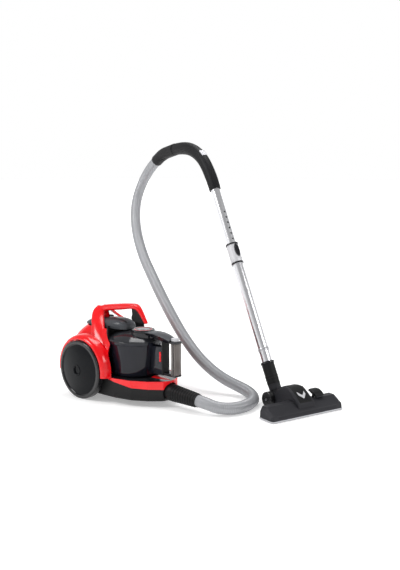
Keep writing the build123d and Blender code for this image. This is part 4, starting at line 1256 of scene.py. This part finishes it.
@dataclass
class Wand:
    """The handle and the telescopic wand."""

    body: str = "lower_wand"
    collar: tuple[float, float] = (462.0, 537.0)
    notches: int = 6
    notch_first: float = 551.0
    notch_step: float = 20.0
    notch_lift: float = 15.7
    joint_place: float = 160.0
    bezel_sides: int = 36
    grip_share: float = 0.77
    grip_sides: int = 40
    grip_below: float = 20.0
    end_ribs: int = 7
    handle: tuple[tuple[float, float], ...] = (
        (-508.1, 674.8),
        (-552.3, 755.3),
        (-640.0, 813.0),
        (-748.0, 822.0),
        (-858.0, 803.0),
        (-905.0, 779.0),
    )

    def collar_rings(self, base: NozzleFrame) -> None:
        """Make the collar's dark end rings and the lower tube's joint ring.

        Args:
            base: The nozzle's axes.
        """
        for name, place, radius in (("low", self.collar[0] + 3, 21.4), ("high", self.collar[1] - 4, 22.0)):
            inner, lip = radius - 3, radius - 0.4
            profile = [(-3.0, inner), (-3.0, lip), (-2.2, radius), (2.2, radius), (3.0, lip), (3.0, inner)]
            Maker.turned(f"collar_ring_{name}", profile, base.along(place), base.wand, Finishes.PIANO, self.body)
        joint_ring = [(-5.0, 17.6), (-4.0, 18.3), (4.0, 18.3), (5.0, 17.6), (5.0, 17.2), (-5.0, 17.2)]
        Maker.turned("tube_joint", joint_ring, base.along(self.joint_place), base.wand, Finishes.STEEL, self.body)

    def notch_marks(self, base: NozzleFrame) -> None:
        """Make the six dark notches that the latch drops into.

        Args:
            base: The nozzle's axes.
        """
        notch = [(0.0, 3.4), (0.5, 3.2), (0.5, 0.4), (0.0, 0.4)]
        for index in range(self.notches):
            centre = base.along(self.notch_first + self.notch_step * index, self.notch_lift)
            Maker.turned(f"notch_{index}", notch, centre, base.wand_front, Finishes.BASE, "canister", steps=24)

    def latch_bezel(self, base: NozzleFrame) -> None:
        """Make the frame round the collar's latch.

        Args:
            base: The nozzle's axes.
        """
        centre, sides = box_centre("latch_button"), self.bezel_sides
        curve = 46.0
        section = ((-5.0, 0.0), (-1.6, 0.0), (-1.6, -2.4), (-5.0, -2.4))
        points = []
        for front, grow in section:
            for side, along in rounded_ring(10.5 + grow, 17.0 + grow, 2.6, sides):
                out = base.wand_front * (front - side * side / curve)
                points.append(centre + base.across * side + base.wand * along + out)
        faces = Maker.grid_faces(len(section), sides, caps=False)
        last = (len(section) - 1) * sides
        faces += [[last + a, last + (a + 1) % sides, (a + 1) % sides, a] for a in range(sides)]
        Maker.piece("latch_bezel", points, faces, Finishes.CHARCOAL, self.body)

    def grip(self, base: NozzleFrame) -> None:
        """Make the thick soft grip over the handle's bend, and the ribs towards the hose.

        Args:
            base: The nozzle's axes.
        """
        route = [base.at(x, 0, z) * MM for x, z in self.handle]
        line = [millimetres(point) for point in even(laid_line(route), 4 * MM)]
        last = len(line) - 1
        sizes = (
            (0.0, 20.0, 20.0),
            (0.06, 20.8, 21.5),
            (0.2, 20.5, 22.5),
            (0.36, 20.2, 24.5),
            (0.52, 20.4, 25.0),
            (0.66, 20.4, 23.0),
            (0.76, 20.4, 21.0),
            (1.0, 20.2, 20.2),
        )
        count = round(last * self.grip_share)
        seam_depth, seam_width = 0.7, 0.0004

        def ring(index: int, first: Vector, second: Vector) -> list[Vector]:
            """Give the grip's section: round below, raised along its top and with a seam on each side.

            Args:
                index: The number of the point on the grip's line.
                first: The section's upward axis.
                second: Its sideways axis.

            Returns:
                The section's points, from the line.
            """
            side, top = blend_table(sizes, index / last)
            offsets = []
            for step in range(self.grip_sides):
                c, q = math.cos(math.tau * step / self.grip_sides), math.sin(math.tau * step / self.grip_sides)
                high = top if c > 0 else self.grip_below
                seam = seam_depth * math.exp(-((q * q - 1) ** 2) / seam_width)
                offsets.append(first * c * high + second * q * (side - seam))
            return offsets

        up = Vector((0.3, 0, 1))
        Maker.swept("handle_grip", line[: count + 1], ring, Finishes.GRIP, "canister", up=up, angle=60)
        rib = [(-1.8, 19.0), (-1.4, 20.6), (0.0, 21.2), (1.4, 20.6), (1.8, 19.0)]
        for index in range(self.end_ribs):
            place = count + 2 + round((last - count - 4) * index / (self.end_ribs - 1))
            aim = line[min(place + 1, last)] - line[place - 1]
            Maker.turned(f"end_rib_{index}", rib, line[place], aim, Finishes.BASE, "canister", steps=48)

    def build(self) -> None:
        """Make and dress the handle and the wand."""
        Maker.dress(Finishes.GRIP, "handle_shell_left", "handle_shell_right")
        Maker.dress(Finishes.STEEL, "suction_slider")
        Maker.dress(Finishes.TUBE, "upper_tube", "lower_tube")
        Maker.dress(Finishes.SILVER, "wand_collar")
        Maker.dress(Finishes.PIANO, "latch_button")
        base = NozzleFrame()
        for part in (self.collar_rings, self.notch_marks, self.latch_bezel, self.grip):
            part(base)


@dataclass
class FloorNozzle:
    """The wide floor nozzle with its neck, rollers and pedal."""

    body: str = "nozzle"
    width: float = 280.0
    sole_z: float = 6.5
    middle_x: float = -34.0
    end_pull: float = 12.0
    pedal_y: float = 70.0
    neck_top: float = 118.0
    rows: tuple[tuple[float, float], ...] = (
        (-0.5, 6.5),
        (-0.2, 16.0),
        (-2.4, 20.5),
        (-10.0, 25.5),
        (-24.0, 33.0),
        (-36.0, 38.0),
        (-48.0, 38.6),
        (-58.0, 37.6),
        (-64.0, 33.0),
        (-68.0, 25.0),
        (-68.2, 6.5),
    )

    def shell(self, base: NozzleFrame) -> None:
        """Make the faceted body, which tapers at both ends.

        Args:
            base: The nozzle's axes.
        """
        half = self.width / 2
        stations = ((-half, 0.50), (-half + 4, 0.62), (-half + 20, 0.93), (-half + 28, 1.0), (-40, 1.0), (40, 1.0))
        stations += ((half - 28, 1.0), (half - 20, 0.93), (half - 4, 0.62), (half, 0.50))
        rings = []
        for y, tall in stations:
            ring = []
            for x, z in self.rows:
                pull = (1 - tall) * self.end_pull * (1 if x > self.middle_x else -1)
                ring.append(base.at(x - pull, y, self.sole_z + (z - self.sole_z) * tall))
            rings.append(ring)
        Maker.loft("nozzle_shell", rings, Finishes.CHARCOAL, self.body, bevel=1.4, angle=30)

    def hump(self, base: NozzleFrame) -> None:
        """Make the raised wedge between the neck and the front, with its border and mark.

        Args:
            base: The nozzle's axes.
        """
        ridge = ((-124, 58, 27), (-112, 69, 29), (-94, 77, 30), (-78, 79, 30.5), (-62, 77.5, 31))
        ridge += ((-44, 66.5, 31.5), (-26, 53.5, 32), (-14, 42, 32.5), (-9, 30, 32.5))
        border = [(x, z, half, 0.0, max(12.0, z - 40)) for x, z, half in ridge]
        panel = [(x, z, half - 6.0, 1.4, z - 6) for x, z, half in ridge[1:-1]]
        for name, stations, finish in (("border", border, Finishes.CHARCOAL), ("panel", panel, Finishes.BASE)):
            rings = []
            for x, z, wide, rise, foot in stations:
                section = [(-wide, foot), (-wide, z - 4), (-wide + 4, z + rise)]
                section += [(-y, high) for y, high in reversed(section)]
                rings.append([base.at(x, y, high) for y, high in section])
            Maker.loft(f"hump_{name}", rings, finish, self.body, bevel=1.2, angle=30)
        mark = []
        for y in range(-14, 15, 4):
            x = -22 - abs(y) * 0.9
            z = 56.5 - (x + 26) * 0.74
            bar = ((0, 0), (-9, 0), (-9, -2.5), (0, -2.5))
            mark.append([base.at(x + back, y, z - back * 0.72 + down) for back, down in bar])
        Maker.loft("hump_mark", mark, Finishes.SILVER, self.body, bevel=0.4)

    def pedal_top(self, base: NozzleFrame) -> None:
        """Make the rounded foot pad of the pedal.

        Args:
            base: The nozzle's axes.
        """
        stations = ((-70, 56, 14, 4), (-66, 61.5, 17, 6), (-54, 61, 18, 6.5), (-42, 56.5, 18, 6.5), (-31, 50, 16, 5))
        pad = []
        for x, z, half, thick in stations:
            outline = rounded_ring(half, thick / 2, 3.4, 28)
            pad.append([base.at(x, self.pedal_y + y, z + high) for y, high in outline])
        Maker.loft("pedal_pad", pad, Finishes.BASE, "rocker", angle=60)

    def neck_rings(self, base: NozzleFrame) -> None:
        """Make the neck's lip and its two grip bands.

        Args:
            base: The nozzle's axes.
        """
        lip = [(-7.0, 20.4), (-6.2, 22.2), (-1.0, 23.0), (0.6, 22.4), (1.2, 20.6), (1.2, 18.4), (-7.0, 18.4)]
        Maker.turned("neck_lip", lip, base.along(self.neck_top), base.wand, Finishes.PIANO, "lower_wand")
        band = [(-2.0, 20.2), (-1.4, 21.2), (1.4, 21.2), (2.0, 20.2), (2.0, 19.8), (-2.0, 19.8)]
        for index in range(2):
            Maker.turned(f"neck_band_{index}", band, base.along(62 + 9 * index), base.wand, Finishes.BASE, "lower_wand")

    def build(self) -> None:
        """Make and dress the nozzle."""
        Maker.dress(Finishes.BASE, "neck_tube")
        Maker.dress(Finishes.CHARCOAL, "elbow", "nozzle_top", "pedal")
        Maker.dress(Finishes.TYRE, "roller_left", "roller_right")
        Maker.dress(Finishes.STEEL, "nozzle_axle", "sole_plate")
        Maker.dress(Finishes.BRISTLE, "brush_strips")
        base = NozzleFrame()
        for part in (self.shell, self.hump, self.pedal_top, self.neck_rings):
            part(base)


# --- studio ---------------------------------------------------------------------------------
@dataclass
class Studio:
    """A pale floor, soft lights and the camera."""

    eye: tuple[float, float, float] = (1.8935, -1.7746, 0.7337)
    looks: tuple[float, float, float] = (-0.66005, 0.73822, -0.13917)
    lens: float = 50.53
    dim: float = 0.42
    floor_half: float = 60.0
    glow_from: float = 1.3
    glow_to: float = 5.0

    def lamp(self, name: str, place: Point, aim: Point, size: float, power: float) -> None:
        """Hang one square soft light.

        Args:
            name: The light's name.
            place: Where it hangs, in metres.
            aim: The point it faces.
            size: The length of its side.
            power: Its power, in watts.
        """
        data = bpy.data.lights.new(name, "AREA")
        data.size = size
        data.energy = power
        light = bpy.data.objects.new(name, data)
        light.location = place
        light.rotation_mode = "QUATERNION"
        light.rotation_quaternion = (Vector(aim) - Vector(place)).to_track_quat("-Z", "Y")
        bpy.context.scene.collection.objects.link(light)

    def floor(self) -> None:
        """Lay the pale floor, which glows more the farther it is from the cleaner."""
        shop = Shop("pale_floor")
        tint = shop.between(shop.noise(2.0), (0.86, 0.86, 0.86), (0.90, 0.90, 0.90))
        reach = shop.node("ShaderNodeVectorMath", {"operation": "LENGTH"}, {"Vector": shop.place()}, "Value")
        far = shop.spread(reach, self.glow_from, self.glow_to)
        glow = shop.between(far, (0.32, 0.32, 0.32), (0.9, 0.9, 0.9))
        shop.finish(
            {
                "Base Color": tint,
                "Roughness": 0.7 + 0.1 * shop.noise(5.0),
                "Specular IOR Level": 0.1,
                "Emission Color": glow,
                "Emission Strength": 1.0,
            }
        )
        mesh = bpy.data.meshes.new("floor")
        size = self.floor_half
        mesh.from_pydata([(-size, -size, 0), (size, -size, 0), (size, size, 0), (-size, size, 0)], [], [(0, 1, 2, 3)])
        mesh.materials.append(shop.material)
        ground = bpy.data.objects.new("floor", mesh)
        bpy.context.scene.collection.objects.link(ground)

    def sky(self) -> None:
        """Fill the room with pale light, white at the horizon and dimmer overhead."""
        world = bpy.data.worlds.new("room")
        world.use_nodes = True
        tree = world.node_tree
        tree.nodes.clear()
        shop = Shop("room_light", tree)
        height = shop.node("ShaderNodeSeparateXYZ", {}, {"Vector": shop.room()}, "Z")
        tint = shop.between(shop.spread(height, 0.24, 0.5), (1.0, 1.0, 1.0), (self.dim, self.dim, self.dim))
        glow = shop.node("ShaderNodeBackground", {}, {"Color": tint, "Strength": 1.0}, "Background")
        out = tree.nodes.new("ShaderNodeOutputWorld")
        tree.links.new(glow.socket, out.inputs["Surface"])
        bpy.context.scene.world = world

    def camera(self) -> None:
        """Set up the camera."""
        data = bpy.data.cameras.new("camera")
        data.lens = self.lens
        data.clip_end = 300.0
        camera = bpy.data.objects.new("camera", data)
        camera.location = self.eye
        camera.rotation_mode = "QUATERNION"
        camera.rotation_quaternion = Vector(self.looks).to_track_quat("-Z", "Y")
        bpy.context.scene.collection.objects.link(camera)
        bpy.context.scene.camera = camera

    def build(self) -> None:
        """Set up the floor, the lights and the camera."""
        self.floor()
        self.sky()
        self.camera()
        self.lamp("key", (-1.2, -2.0, 2.4), (0.0, 0.1, 0.2), 1.1, 48.0)
        self.lamp("fill", (2.4, 0.6, 1.6), (0.1, 0.1, 0.2), 0.8, 16.0)
        self.lamp("top", (-0.4, 0.8, 3.0), (0.0, 0.2, 0.2), 1.6, 50.0)
        bpy.context.scene.view_settings.view_transform = "Standard"


def main() -> None:
    """Build every sub-assembly and the studio."""
    logging.basicConfig(level=logging.INFO)
    for assembly in (Canister(), Wheels(), DustBin(), Hose(), Wand(), FloorNozzle(), Studio()):
        LOG.info("building %s", type(assembly).__name__)
        assembly.build()


if __name__ == "__main__":
    main()
